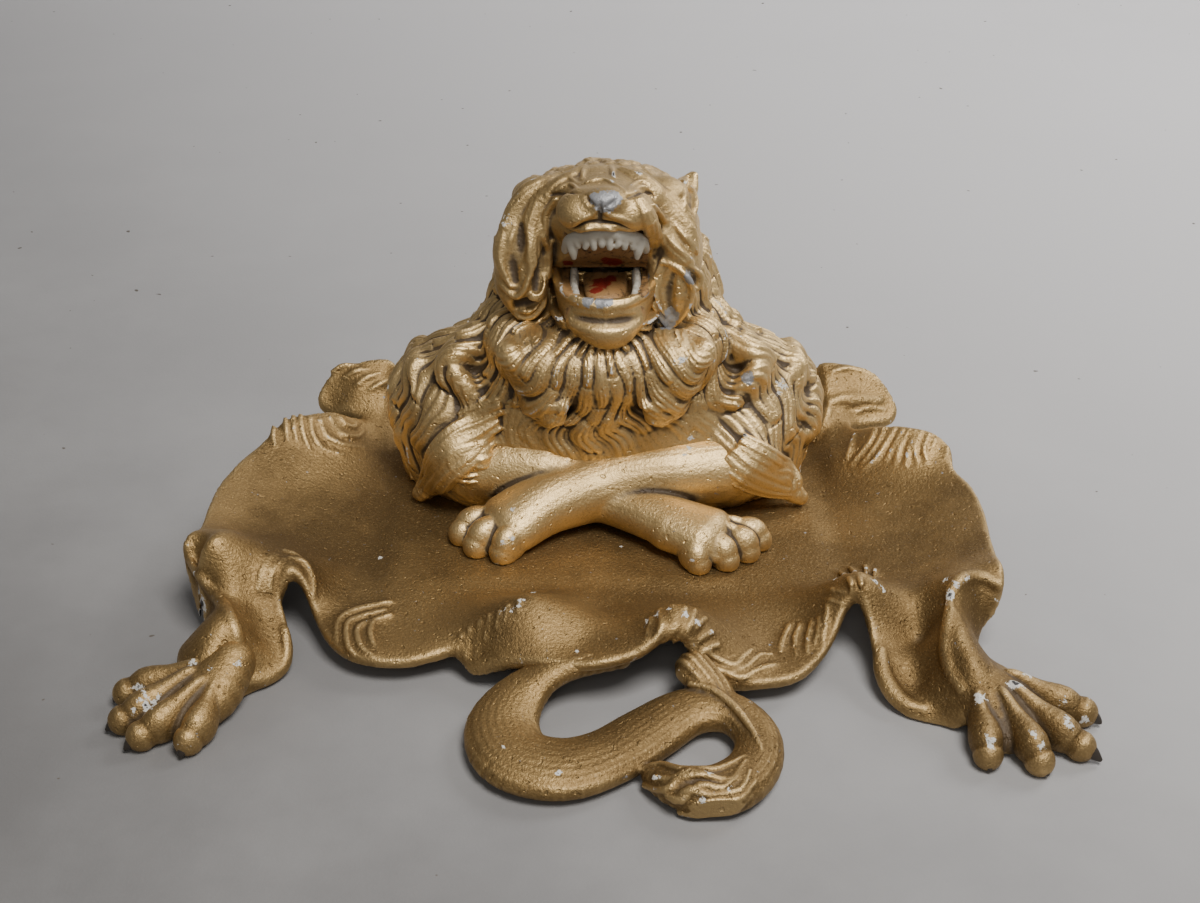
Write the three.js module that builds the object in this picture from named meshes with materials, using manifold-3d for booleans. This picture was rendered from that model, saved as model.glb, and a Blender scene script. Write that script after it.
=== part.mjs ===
// A figural desk inkstand of cast iron: a lion's hide spread as a pen tray, a lion's bust
// screwed on its floor, the roaring head as a hinged lid, and a glass ink pot under it.
// Millimetres, +X to the lion's left as the reader sees it on the right, +Y to the back, +Z up.

import * as THREE from 'three';
import { mergeVertices } from 'three/addons/utils/BufferGeometryUtils.js';
import Module from 'manifold-3d';

const wasm = await Module();
wasm.setup();

// Driving dimensions of the two castings
const hideSize = 100; // the hide's outline, heights and limbs are shares of this length
const lionSize = 100; // the lion's forms are shares of this length, from the hide's middle
const deckShare = 1.12; // of the lion's size: height of the parting plane between bust and head
const seatHeight = 14; // top of the flat floor that the bust stands on
const hideThickness = 4; // the hide is cast this thick
const rimLeast = 2.5; // the hide's top never comes nearer to the table than this
const bustWall = 8; // wall of the hollow bust
const deckHeight = deckShare * lionSize;
const touchGap = 0.3; // between pieces that touch

// Ink pot: a pressed glass liner that hangs by its flange
const potRadius = 18;
const potDepth = 37; // from the flange's top to the foot
const potWall = 3;
const potFlangeReach = 4; // flange beyond the body
const potFlangeHeight = 2.5;
const potClearance = 0.5; // round the body and the flange
const lidHollowRadius = 21; // room above the pot, inside the head
const lidHollowHeight = 24;

// Hinge at the nape
const pinRadius = 1.75;
const pinOverhang = 0.6; // the pin's ends stand out of the outer knuckles
const runningClearance = 0.06;
const knuckleRadius = 4.2;
const lidKnuckleWidth = 12;
const bustKnuckleWidth = 6;
const knuckleSideClearance = 0.3;
const hingeRise = 1.5; // axis above the parting plane
const swingClearance = 1.6; // round the head's hanging locks, where the bust is cut away
const swingStep = 9; // degrees between the cuts that let the locks swing out
const swingSteps = 3;

// Screws that hold the bust down
const screwRadius = 2.5;
const screwReach = 12; // thread above the floor
const screwHeadRadius = 4.5;
const screwHeadHeight = 3.2;
const slotWidth = 1.2;
const slotDepth = 1.4;
const washerRadius = 6.5;
const washerThickness = 1;
const holeClearance = 0.4; // round the thread
const bossRadius = 8;
const bossHeight = 20;

// How finely the surfaces are cut
const gridCells = 33; // across the hide
const weldShare = 1e-5; // of the hide's size: points nearer than this are one
const overrun = 30; // how far a cutter runs past what it cuts
const pinSides = 20;
const potSides = 32;
const screwSides = 16;

// Turns a closed three.js geometry into a solid that can be joined and cut.
function solid(geometry) {
  const bare = geometry.index ? geometry.toNonIndexed() : geometry.clone();
  bare.deleteAttribute('normal');
  bare.deleteAttribute('uv');
  const merged = mergeVertices(bare, weldShare * hideSize);
  return new wasm.Manifold(new wasm.Mesh({
    numProp: 3,
    vertProperties: merged.attributes.position.array,
    triVerts: new Uint32Array(merged.index.array),
  }));
}

// Turns a solid back into a named mesh.
function piece(name, made, material) {
  const found = made.getMesh();
  const points = new Float32Array(found.numVert * 3);
  for (let v = 0; v < found.numVert; v += 1) {
    points.set(found.vertProperties.subarray(v * found.numProp, v * found.numProp + 3), v * 3);
  }
  const geometry = new THREE.BufferGeometry();
  geometry.setAttribute('position', new THREE.BufferAttribute(points, 3));
  geometry.setIndex(new THREE.BufferAttribute(new Uint32Array(found.triVerts), 1));
  geometry.computeVertexNormals();
  const mesh = new THREE.Mesh(geometry, material);
  mesh.name = name;
  return mesh;
}

// Joins a list of solids.
function joined(solids) {
  return solids.reduce((sum, next) => sum.add(next));
}

// A closed surface over rings of points, each ring with the same count, and a tip at both ends.
function skinned(rings, firstTip, lastTip) {
  const points = [firstTip, ...rings.flat(), lastTip];
  const sides = rings[0].length;
  const last = points.length - 1;
  const faces = [];
  for (let s = 0; s < sides; s += 1) {
    const next = (s + 1) % sides;
    faces.push(0, 1 + next, 1 + s);
    for (let r = 0; r + 1 < rings.length; r += 1) {
      const low = 1 + r * sides;
      const high = low + sides;
      faces.push(low + s, low + next, high + next);
      faces.push(low + s, high + next, high + s);
    }
    faces.push(last, last - sides + s, last - sides + next);
  }
  const geometry = new THREE.BufferGeometry();
  geometry.setAttribute('position', new THREE.Float32BufferAttribute(points.flatMap((p) => p.toArray()), 3));
  geometry.setIndex(faces);
  return solid(geometry);
}

// A row between rows of numbers, on a smooth curve through them; t runs from 0 to 1.
function between(rows, t) {
  const along = t * (rows.length - 1);
  const index = Math.min(Math.floor(along), rows.length - 2);
  const u = along - index;
  const a = rows[Math.max(index - 1, 0)];
  const b = rows[index];
  const c = rows[index + 1];
  const d = rows[Math.min(index + 2, rows.length - 1)];
  return b.map((value, k) => {
    const out = (c[k] - a[k]) / 2;
    const back = (d[k] - value) / 2;
    const bend = 2 * (value - c[k]) + out + back;
    const rise = 3 * (c[k] - value) - 2 * out - back;
    return ((bend * u + rise) * u + out) * u + value;
  });
}

// A swelling limb along a smooth path. Each station is x, y, z, half width and half height
// in shares of the size. The width lies square to the path and to the up direction.
function limb(unit, stationShares, { sides = 7, steps = 0, up = [0, 0, 1], grow = 0 } = {}) {
  const count = steps || (stationShares.length - 1) * 2;
  const rows = [];
  for (let i = 0; i <= count; i += 1) {
    rows.push(between(stationShares, i / count).map((share) => share * unit));
  }
  const centres = rows.map((row) => new THREE.Vector3(row[0], row[1], row[2]));
  const upward = new THREE.Vector3(...up);
  const tangents = centres.map((_, i) => {
    const ahead = centres[Math.min(i + 1, count)];
    const behind = centres[Math.max(i - 1, 0)];
    return ahead.clone().sub(behind).normalize();
  });
  const rings = centres.map((centre, i) => {
    const across = upward.clone().cross(tangents[i]).normalize();
    const over = tangents[i].clone().cross(across);
    const halfWidth = rows[i][3] + grow;
    const halfHeight = rows[i][4] + grow;
    return Array.from({ length: sides }, (_, s) => {
      const angle = (2 * Math.PI * (s + 0.5)) / sides;
      return centre.clone()
        .addScaledVector(across, Math.cos(angle) * halfWidth)
        .addScaledVector(over, Math.sin(angle) * halfHeight);
    });
  });
  const tipShare = 0.7; // how far the rounded end stands out, of the end's half height
  const first = centres[0].clone().addScaledVector(tangents[0], -tipShare * (rows[0][4] + grow));
  const last = centres[count].clone().addScaledVector(tangents[count], tipShare * (rows[count][4] + grow));
  return skinned(rings, first, last);
}

// An ellipsoid, with its centre and radii in shares of the size.
function blob(unit, centreShares, radiusShares, { across = 12, down = 8 } = {}) {
  const ball = new THREE.SphereGeometry(unit, across, down);
  ball.scale(...radiusShares);
  ball.translate(...centreShares.map((share) => share * unit));
  return solid(ball);
}

// A body stacked of level rings. Each row is height, half width, front and back in shares.
function stacked(unit, rowShares, { sides = 20, squareness = 2.4, shrink = 0, highest = Infinity } = {}) {
  const rings = rowShares.map(([heightShare, halfShare, frontShare, backShare]) => {
    const half = halfShare * unit - shrink;
    const middle = ((frontShare + backShare) / 2) * unit;
    const deep = ((backShare - frontShare) / 2) * unit - shrink;
    const height = Math.min(heightShare * unit, highest);
    return Array.from({ length: sides }, (_, s) => {
      const angle = (2 * Math.PI * s) / sides;
      const c = Math.cos(angle);
      const d = Math.sin(angle);
      const reach = (Math.abs(c) ** squareness + Math.abs(d) ** squareness) ** (-1 / squareness);
      return new THREE.Vector3(half * reach * c, middle + deep * reach * d, height);
    });
  });
  const middleOf = (ring) => ring.reduce((sum, p) => sum.add(p), new THREE.Vector3()).divideScalar(sides);
  return skinned(rings, middleOf(rings[0]), middleOf(rings.at(-1)));
}

// The same stations on the other side of the middle.
function mirrored(stationShares) {
  return stationShares.map(([x, ...rest]) => [-x, ...rest]);
}

// A round bar or disc along an axis, 'x' or 'z'.
function round(radius, from, to, centre, axis = 'z', sides = 24) {
  const bar = new THREE.CylinderGeometry(radius, radius, to - from, sides);
  if (axis === 'x') {
    bar.rotateZ(Math.PI / 2);
    bar.translate((from + to) / 2, centre[0], centre[1]);
  } else {
    bar.rotateX(Math.PI / 2);
    bar.translate(centre[0], centre[1], (from + to) / 2);
  }
  return solid(bar);
}

// A box between two corners.
function block(low, high) {
  const sides = high.map((value, k) => value - low[k]);
  const box = new THREE.BoxGeometry(...sides);
  box.translate(...low.map((value, k) => value + sides[k] / 2));
  return solid(box);
}

// Everything between two height functions over a rectangle of the table.
function sheet(lowest, highest, [left, front, right, back], cell) {
  const columns = Math.ceil((right - left) / cell);
  const rows = Math.ceil((back - front) / cell);
  const points = [];
  for (const height of [lowest, highest]) {
    for (let r = 0; r <= rows; r += 1) {
      for (let c = 0; c <= columns; c += 1) {
        const x = left + ((right - left) * c) / columns;
        const y = front + ((back - front) * r) / rows;
        points.push(x, y, height(x, y));
      }
    }
  }
  const wide = columns + 1;
  const upper = wide * (rows + 1);
  const faces = [];
  for (let r = 0; r < rows; r += 1) {
    for (let c = 0; c < columns; c += 1) {
      const a = r * wide + c;
      const [b, d, e] = [a + 1, a + wide, a + wide + 1];
      faces.push(a, e, b, a, d, e);
      faces.push(upper + a, upper + b, upper + e, upper + a, upper + e, upper + d);
    }
  }
  const rim = [];
  for (let c = 0; c < columns; c += 1) rim.push(c);
  for (let r = 0; r < rows; r += 1) rim.push(columns + r * wide);
  for (let c = columns; c > 0; c -= 1) rim.push(rows * wide + c);
  for (let r = rows; r > 0; r -= 1) rim.push(r * wide);
  rim.forEach((a, i) => {
    const b = rim[(i + 1) % rim.length];
    faces.push(a, b, upper + b, a, upper + b, upper + a);
  });
  const geometry = new THREE.BufferGeometry();
  geometry.setAttribute('position', new THREE.Float32BufferAttribute(points, 3));
  geometry.setIndex(faces);
  return solid(geometry);
}

// The hide: its outline, going round from the left fur corner, with the height of its edge.
// Each row is x, y and z in shares of the hide's size.
const edgeShares = [
  [-1.37, 0.6, 0.33], [-1.44, 0.46, 0.32], [-1.49, 0.3, 0.31], [-1.5, 0.14, 0.31], [-1.5, -0.03, 0.32],
  [-1.535, -0.11, 0.31], [-1.52, -0.15, 0.2], [-1.48, -0.22, 0.12], [-1.45, -0.29, 0.08],
  [-1.46, -0.37, 0.07], [-1.5, -0.46, 0.1], [-1.46, -0.6, 0.12], [-1.33, -0.68, 0.11], [-1.24, -0.6, 0.03],
  [-1.18, -0.55, 0.04],
  [-1.13, -0.48, 0.05], [-1.12, -0.41, 0.09], [-1.14, -0.33, 0.14], [-1.165, -0.26, 0.2],
  [-1.13, -0.225, 0.26], [-1.09, -0.235, 0.23], [-1.05, -0.29, 0.14], [-0.99, -0.4, 0.11],
  [-0.91, -0.48, 0.1], [-0.82, -0.52, 0.1],
  [-0.71, -0.53, 0.1], [-0.61, -0.51, 0.11], [-0.53, -0.49, 0.12], [-0.47, -0.54, 0.09], [-0.4, -0.57, 0.12],
  [-0.29, -0.6, 0.16], [-0.16, -0.64, 0.18], [-0.02, -0.66, 0.2], [0.11, -0.63, 0.22], [0.2, -0.58, 0.26],
  [0.27, -0.57, 0.25], [0.33, -0.61, 0.14], [0.4, -0.64, 0.1], [0.56, -0.64, 0.1], [0.67, -0.61, 0.11],
  [0.75, -0.53, 0.13], [0.81, -0.44, 0.17], [0.85, -0.38, 0.24], [0.89, -0.37, 0.27], [0.92, -0.41, 0.2],
  [0.93, -0.49, 0.14], [0.93, -0.57, 0.1], [0.96, -0.66, 0.07], [1.03, -0.72, 0.04], [1.13, -0.76, 0.03],
  [1.22, -0.8, 0.1], [1.36, -0.8, 0.12], [1.42, -0.68, 0.12], [1.4, -0.55, 0.09], [1.35, -0.48, 0.08],
  [1.32, -0.42, 0.11], [1.34, -0.37, 0.18], [1.39, -0.345, 0.25], [1.41, -0.3, 0.31], [1.41, -0.17, 0.31],
  [1.42, 0, 0.3], [1.43, 0.15, 0.3], [1.41, 0.3, 0.31], [1.37, 0.42, 0.31], [1.37, 0.53, 0.34],
  [1.31, 0.6, 0.37], [1.2, 0.65, 0.37], [1.1, 0.7, 0.34], [1.03, 0.82, 0.26], [1.06, 0.88, 0.24],
  [1.2, 0.91, 0.25], [1.23, 0.97, 0.3], [1.15, 1.04, 0.4], [1.0, 1.08, 0.43], [0.88, 1.1, 0.41],
  [0.76, 1.13, 0.25], [0.55, 1.14, 0.04], [0.2, 1.15, 0.03], [-0.2, 1.15, 0.03], [-0.55, 1.14, 0.04],
  [-0.76, 1.13, 0.25], [-0.9, 1.12, 0.42], [-1.03, 1.1, 0.43], [-1.17, 1.07, 0.38], [-1.22, 1.02, 0.3],
  [-1.16, 0.98, 0.25], [-1.04, 0.93, 0.25], [-1.04, 0.86, 0.29], [-1.12, 0.8, 0.35], [-1.22, 0.74, 0.37],
  [-1.31, 0.69, 0.36],
];

// Heights inside the outline: the dished floor, the leg ridges and the folds.
const innerShares = [
  [-1.0, 0, 0.15], [-1.02, 0.3, 0.16], [-0.98, 0.6, 0.18], [-1.2, 0.1, 0.2], [-1.24, 0.4, 0.22],
  [-1.12, 0.64, 0.27], [-1.35, 0.05, 0.25], [-1.36, 0.28, 0.26], [-1.0, 0.82, 0.24], [-0.92, 0.98, 0.3],
  [-1.05, 1.0, 0.34], [1.0, 0.02, 0.16], [1.02, 0.3, 0.17], [0.98, 0.56, 0.2], [1.2, 0.1, 0.21],
  [1.22, 0.36, 0.24], [1.12, 0.56, 0.28], [1.32, 0.2, 0.27], [1.3, -0.1, 0.26], [0.96, 0.78, 0.24],
  [0.92, 0.92, 0.3], [1.05, 0.97, 0.34],
  [-1.46, -0.23, 0.28], [-1.34, -0.39, 0.24], [-1.27, -0.52, 0.21], [-1.34, -0.6, 0.17], [-1.27, -0.3, 0.2],
  [-1.22, -0.43, 0.13], [-1.17, -0.14, 0.28], [-1.17, -0.48, 0.08],
  [1.24, -0.36, 0.31], [1.19, -0.47, 0.28], [1.17, -0.59, 0.24], [1.22, -0.7, 0.21], [1.32, -0.62, 0.16],
  [1.12, -0.43, 0.13], [1.09, -0.6, 0.08], [1.02, -0.52, 0.11], [0.9, -0.29, 0.31], [1.05, -0.36, 0.19],
  [0.95, -0.16, 0.18], [1.15, -0.2, 0.22], [-1.0, -0.18, 0.16], [-0.94, -0.34, 0.12], [-0.75, -0.4, 0.11],
  [-0.27, -0.37, 0.27], [-0.4, -0.45, 0.21], [-0.08, -0.44, 0.22], [-0.1, -0.56, 0.19], [-0.6, -0.32, 0.13],
  [0.25, -0.48, 0.3], [0.13, -0.52, 0.24], [0.37, -0.53, 0.21], [0.55, -0.48, 0.12], [0.7, -0.36, 0.14],
  [-0.3, -0.24, 0.17], [0, -0.3, 0.16], [0.3, -0.32, 0.18], [0.6, -0.2, 0.14], [-0.75, -0.15, 0.14],
  [0.85, -0.1, 0.15], [0, -0.15, 0.14],
];

// A thin plate bent through all the given heights: height is a plane plus a sum of
// distance squared times its logarithm from each point, with weights that solve the heights.
function bentPlate(points) {
  const count = points.length;
  const size = count + 3;
  const bend = (dx, dy) => {
    const square = dx * dx + dy * dy;
    return square > 0 ? square * Math.log(square) : 0;
  };
  const rows = Array.from({ length: size }, () => new Float64Array(size + 1));
  points.forEach(([x, y, z], i) => {
    points.forEach(([px, py], j) => {
      rows[i][j] = bend(x - px, y - py);
    });
    [1, x, y].forEach((value, k) => {
      rows[i][count + k] = value;
      rows[count + k][i] = value;
    });
    rows[i][size] = z;
  });
  for (let k = 0; k < size; k += 1) {
    let pivot = k;
    for (let r = k + 1; r < size; r += 1) {
      if (Math.abs(rows[r][k]) > Math.abs(rows[pivot][k])) pivot = r;
    }
    [rows[k], rows[pivot]] = [rows[pivot], rows[k]];
    for (let r = 0; r < size; r += 1) {
      if (r !== k && rows[r][k] !== 0) {
        const factor = rows[r][k] / rows[k][k];
        for (let c = k; c <= size; c += 1) rows[r][c] -= factor * rows[k][c];
      }
    }
  }
  const weights = rows.map((row, k) => row[size] / row[k]);
  return (x, y) => {
    let sum = weights[count] + weights[count + 1] * x + weights[count + 2] * y;
    points.forEach(([px, py], j) => {
      sum += weights[j] * bend(x - px, y - py);
    });
    return sum;
  };
}

// The seat: a level field under the bust, with its corners rounded, that fades into the bent plate.
// It follows the lion, which stands on it.
const seatHalfShare = 0.8;
const seatFrontShare = -0.08;
const seatBackShare = 1.02;
const seatFadeShare = 0.14;
const plate = bentPlate([...edgeShares, ...innerShares]);

function seatShare(x, y) {
  const [u, v] = [x / lionSize, y / lionSize];
  const outX = Math.max(Math.abs(u) - seatHalfShare, 0);
  const outY = Math.max(seatFrontShare - v, v - seatBackShare, 0);
  const out = Math.hypot(outX, outY) / seatFadeShare;
  const clipped = Math.min(out, 1);
  return 1 - clipped * clipped * (3 - 2 * clipped);
}

// Top of the hide at a place on the table.
function hideTop(x, y) {
  const level = seatShare(x, y);
  const bent = plate(x / hideSize, y / hideSize) * hideSize;
  return Math.max(level * seatHeight + (1 - level) * bent, rimLeast);
}

// Underside of the hide: the same surface one wall further down, square to the slope.
function hideUnder(x, y) {
  const step = hideThickness / 4;
  const slopeX = (hideTop(x + step, y) - hideTop(x - step, y)) / (2 * step);
  const slopeY = (hideTop(x, y + step) - hideTop(x, y - step)) / (2 * step);
  const steepest = 2.2;
  const drop = hideThickness * Math.min(Math.hypot(1, slopeX, slopeY), steepest);
  return Math.max(hideTop(x, y) - drop, 0);
}

const tableShares = [-1.62, -0.95, 1.52, 1.22]; // left, front, right and back of the modelled table
const table = tableShares.map((share) => share * hideSize);
const cell = (table[2] - table[0]) / gridCells;
const outlineCurve = new THREE.CatmullRomCurve3(
  edgeShares.map(([x, y]) => new THREE.Vector3(x * hideSize, y * hideSize, 0)),
  true,
);
const outlineSteps = 110;
const outline = outlineCurve.getPoints(outlineSteps).slice(0, outlineSteps);
const prism = new THREE.ExtrudeGeometry(
  new THREE.Shape(outline.map((p) => new THREE.Vector2(p.x, p.y))),
  { depth: hideSize, bevelEnabled: false },
);
const hideSheet = sheet(hideUnder, hideTop, table, cell).intersect(solid(prism));

// The hide's front paws: from the wrist each toe runs out and down to its claw on the table.
// Each toe lists base, knuckle and claw root in shares; the claw then runs on to its tip.
const frontPawShares = {
  left: {
    palm: [
      [-1.29, -0.56, 0.12, 0.085, 0.09], [-1.36, -0.66, 0.07, 0.13, 0.1], [-1.45, -0.74, 0.05, 0.13, 0.07],
    ],
    toes: [
      [[-1.4, -0.6, 0.1], [-1.57, -0.61, 0.06], [-1.64, -0.63, 0.045], [-1.69, -0.64, 0.02]],
      [[-1.42, -0.65, 0.1], [-1.56, -0.74, 0.065], [-1.62, -0.77, 0.045], [-1.675, -0.79, 0.02]],
      [[-1.37, -0.7, 0.1], [-1.48, -0.81, 0.065], [-1.54, -0.85, 0.045], [-1.59, -0.885, 0.02]],
      [[-1.32, -0.68, 0.09], [-1.355, -0.82, 0.06], [-1.38, -0.87, 0.045], [-1.4, -0.92, 0.02]],
    ],
  },
  right: {
    palm: [[1.22, -0.62, 0.13, 0.085, 0.09], [1.3, -0.72, 0.08, 0.13, 0.11], [1.38, -0.82, 0.05, 0.14, 0.08]],
    toes: [
      [[1.38, -0.66, 0.1], [1.54, -0.71, 0.06], [1.61, -0.73, 0.045], [1.67, -0.755, 0.02]],
      [[1.37, -0.74, 0.11], [1.5, -0.86, 0.07], [1.56, -0.9, 0.045], [1.62, -0.94, 0.02]],
      [[1.32, -0.77, 0.11], [1.39, -0.92, 0.07], [1.41, -0.97, 0.045], [1.43, -1.01, 0.02]],
      [[1.24, -0.76, 0.1], [1.25, -0.89, 0.065], [1.25, -0.94, 0.045], [1.25, -0.985, 0.02]],
    ],
  },
};

const frontToeShare = 0.062; // half width of a toe on the hide's paws
const lionToeShares = { left: 0.058, right: 0.052 }; // and on the lion's
const clawTipShare = 0.16; // of the toe

// A paw with its toes and claws.
function paw(unit, { palm, toes }, toeShare) {
  const toeSolids = toes.flatMap(([base, knuckle, root, tip]) => [
    limb(unit, [
      [...base, toeShare, toeShare * 1.25],
      [...knuckle, toeShare, toeShare * 1.1],
      [...root, toeShare * 0.62, toeShare * 0.7],
    ], { sides: 6, steps: 3 }),
    limb(unit, [
      [...root, toeShare * 0.42, toeShare * 0.42],
      [...tip, toeShare * clawTipShare, toeShare * clawTipShare],
    ], { sides: 4, steps: 1 }),
  ]);
  return joined([limb(unit, palm, { sides: 8, steps: 3 }), ...toeSolids]);
}

// The tail: a flat band that leaves the lip at the front, swings left and forward, comes back
// in a loop and ends in a tuft against the loop.
const tailShares = [
  [0.05, -0.6, 0.17, 0.03, 0.04], [-0.14, -0.62, 0.14, 0.05, 0.045], [-0.27, -0.67, 0.09, 0.09, 0.055],
  [-0.345, -0.81, 0.055, 0.125, 0.06], [-0.3, -0.965, 0.05, 0.135, 0.06], [-0.15, -1.02, 0.05, 0.135, 0.06],
  [0, -0.965, 0.05, 0.12, 0.06], [0.14, -0.855, 0.055, 0.115, 0.06], [0.28, -0.755, 0.065, 0.1, 0.06],
  [0.42, -0.77, 0.07, 0.08, 0.06], [0.5, -0.88, 0.06, 0.08, 0.06], [0.475, -1.02, 0.055, 0.09, 0.06],
  [0.37, -1.12, 0.055, 0.1, 0.065], [0.24, -1.11, 0.055, 0.08, 0.06], [0.15, -1.05, 0.04, 0.035, 0.04],
];
// A lock of fur that joins the lip to the loop
const tailLockShares = [
  [0.3, -0.6, 0.13, 0.07, 0.06], [0.36, -0.68, 0.1, 0.07, 0.05], [0.38, -0.74, 0.08, 0.07, 0.05],
];

// Everything under the table, to cut the limbs flat where they stand on it
const farShare = 3;
const far = farShare * hideSize;
const underTable = block([-far, -far, -overrun], [far, far, 0]);
const limbsOfHide = joined([
  limb(hideSize, tailShares, { sides: 8, steps: 28 }),
  limb(hideSize, tailLockShares),
  paw(hideSize, frontPawShares.left, frontToeShare),
  paw(hideSize, frontPawShares.right, frontToeShare),
]).subtract(underTable);
const hideForms = hideSheet.add(limbsOfHide);

// The lion: torso, shoulders, ruff, chest and lower jaw as one hollow casting.
// Torso rows are height, half width, front and back.
const torsoShares = [
  [0.06, 0.71, 0.34, 0.99], [0.25, 0.73, 0.33, 1.0], [0.45, 0.68, 0.32, 1.0], [0.62, 0.58, 0.34, 1.0],
  [0.78, 0.45, 0.42, 1.0], [0.92, 0.37, 0.52, 1.0], [1.04, 0.35, 0.56, 1.0], [1.3, 0.35, 0.56, 1.0],
];
const hollowShares = [
  [0.06, 0.71, 0.38, 0.99], [0.25, 0.7, 0.38, 0.99], [0.45, 0.62, 0.38, 0.99], [0.62, 0.51, 0.4, 0.99],
  [0.78, 0.41, 0.46, 0.99], [1.02, 0.35, 0.5, 0.985], [1.04, 0.35, 0.5, 0.985],
];
const throatShares = [
  [0.84, 0.14, 0.36, 0.66], [0.9, 0.17, 0.31, 0.68], [0.98, 0.195, 0.285, 0.7], [1.06, 0.195, 0.28, 0.7],
  [1.3, 0.19, 0.28, 0.7],
];

// Round masses of the bust: centre, then radii
const bustMassShares = [
  [[-0.55, 0.7, 0.36], [0.28, 0.27, 0.4]], // shoulders, with the haunch folds
  [[0.54, 0.7, 0.36], [0.28, 0.27, 0.4]],
  [[0, 0.56, 0.46], [0.5, 0.23, 0.34]], // chest
  [[0.02, 0.42, 0.52], [0.2, 0.1, 0.22]], // the tuft between the arms
  [[-0.23, 0.33, 0.8], [0.12, 0.11, 0.12]], // the ruff's left curl
  [[0.25, 0.33, 0.8], [0.11, 0.11, 0.13]], // its right curl
  [[0, 0.31, 0.78], [0.14, 0.09, 0.12]], // and its middle under the chin
];
const ruffShares = [
  [-0.36, 0.52, 0.82, 0.09, 0.1], [-0.25, 0.38, 0.8, 0.11, 0.12], [0, 0.34, 0.77, 0.1, 0.13],
  [0.25, 0.38, 0.8, 0.11, 0.12], [0.36, 0.52, 0.8, 0.09, 0.1],
];
const upperArmShares = [
  [[-0.58, 0.6, 0.46, 0.2, 0.2], [-0.54, 0.46, 0.32, 0.15, 0.16], [-0.46, 0.46, 0.26, 0.12, 0.12]],
  [[0.56, 0.6, 0.46, 0.2, 0.2], [0.52, 0.46, 0.34, 0.16, 0.17], [0.44, 0.44, 0.29, 0.13, 0.14]],
];
// The forearm that crosses over, and the one under it
const forearmShares = [
  [
    [0.44, 0.43, 0.28, 0.125, 0.125], [0.22, 0.4, 0.28, 0.13, 0.13], [0, 0.35, 0.26, 0.12, 0.12],
    [-0.22, 0.25, 0.25, 0.115, 0.105], [-0.36, 0.16, 0.22, 0.125, 0.09],
  ],
  [
    [-0.46, 0.46, 0.26, 0.12, 0.12], [-0.24, 0.43, 0.28, 0.13, 0.13], [0.04, 0.31, 0.22, 0.1, 0.09],
    [0.22, 0.18, 0.22, 0.1, 0.08], [0.38, 0.08, 0.22, 0.12, 0.08],
  ],
];
const lionPawShares = {
  left: {
    palm: [[-0.26, 0.2, 0.24, 0.1, 0.08], [-0.35, 0.16, 0.22, 0.13, 0.08], [-0.42, 0.13, 0.2, 0.12, 0.06]],
    toes: [
      [[-0.42, 0.2, 0.21], [-0.5, 0.19, 0.19], [-0.54, 0.16, 0.175], [-0.57, 0.14, 0.16]],
      [[-0.38, 0.14, 0.22], [-0.45, 0.1, 0.2], [-0.48, 0.08, 0.175], [-0.5, 0.05, 0.16]],
      [[-0.31, 0.12, 0.22], [-0.36, 0.06, 0.2], [-0.38, 0.04, 0.175], [-0.39, 0.01, 0.16]],
    ],
  },
  right: {
    palm: [[0.24, 0.11, 0.22, 0.09, 0.08], [0.36, 0.08, 0.21, 0.12, 0.08], [0.44, 0.06, 0.19, 0.12, 0.06]],
    toes: [
      [[0.3, 0.04, 0.2], [0.33, -0.01, 0.19], [0.345, -0.03, 0.17], [0.35, -0.05, 0.155]],
      [[0.38, 0.05, 0.21], [0.43, 0.01, 0.195], [0.45, -0.01, 0.17], [0.465, -0.03, 0.155]],
      [[0.46, 0.08, 0.21], [0.51, 0.06, 0.195], [0.53, 0.045, 0.17], [0.55, 0.03, 0.155]],
      [[0.48, 0.14, 0.2], [0.55, 0.13, 0.19], [0.58, 0.12, 0.17], [0.6, 0.11, 0.155]],
    ],
  },
};
// Fringe locks that end on the floor beside the elbows
const elbowLockShares = [
  [[-0.55, 0.5, 0.42, 0.1, 0.09], [-0.63, 0.46, 0.29, 0.09, 0.07], [-0.73, 0.44, 0.18, 0.03, 0.03]],
  [[0.52, 0.46, 0.42, 0.1, 0.09], [0.64, 0.42, 0.28, 0.08, 0.06], [0.77, 0.41, 0.18, 0.03, 0.03]],
];
// Broad locks of the mane hang in rows round the torso, and each swings to one side and back.
// A lock's stations are widths and heights as shares; its line lies on the torso and the shoulders.
const torsoSquareness = 2.4;
const maneTopShares = [1.08, 0.86, 0.62]; // upper end of each row of locks
const maneFallShare = 0.27; // from a lock's upper end to its lower one
const maneLockShares = [[0.07, 0.045], [0.115, 0.065], [0.105, 0.06], [0.05, 0.03]];
const maneFirst = -80; // degrees from the side to the front, on both sides of the lion
const maneLast = 52;
const maneCount = 4;
const maneSwing = 10; // degrees

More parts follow.
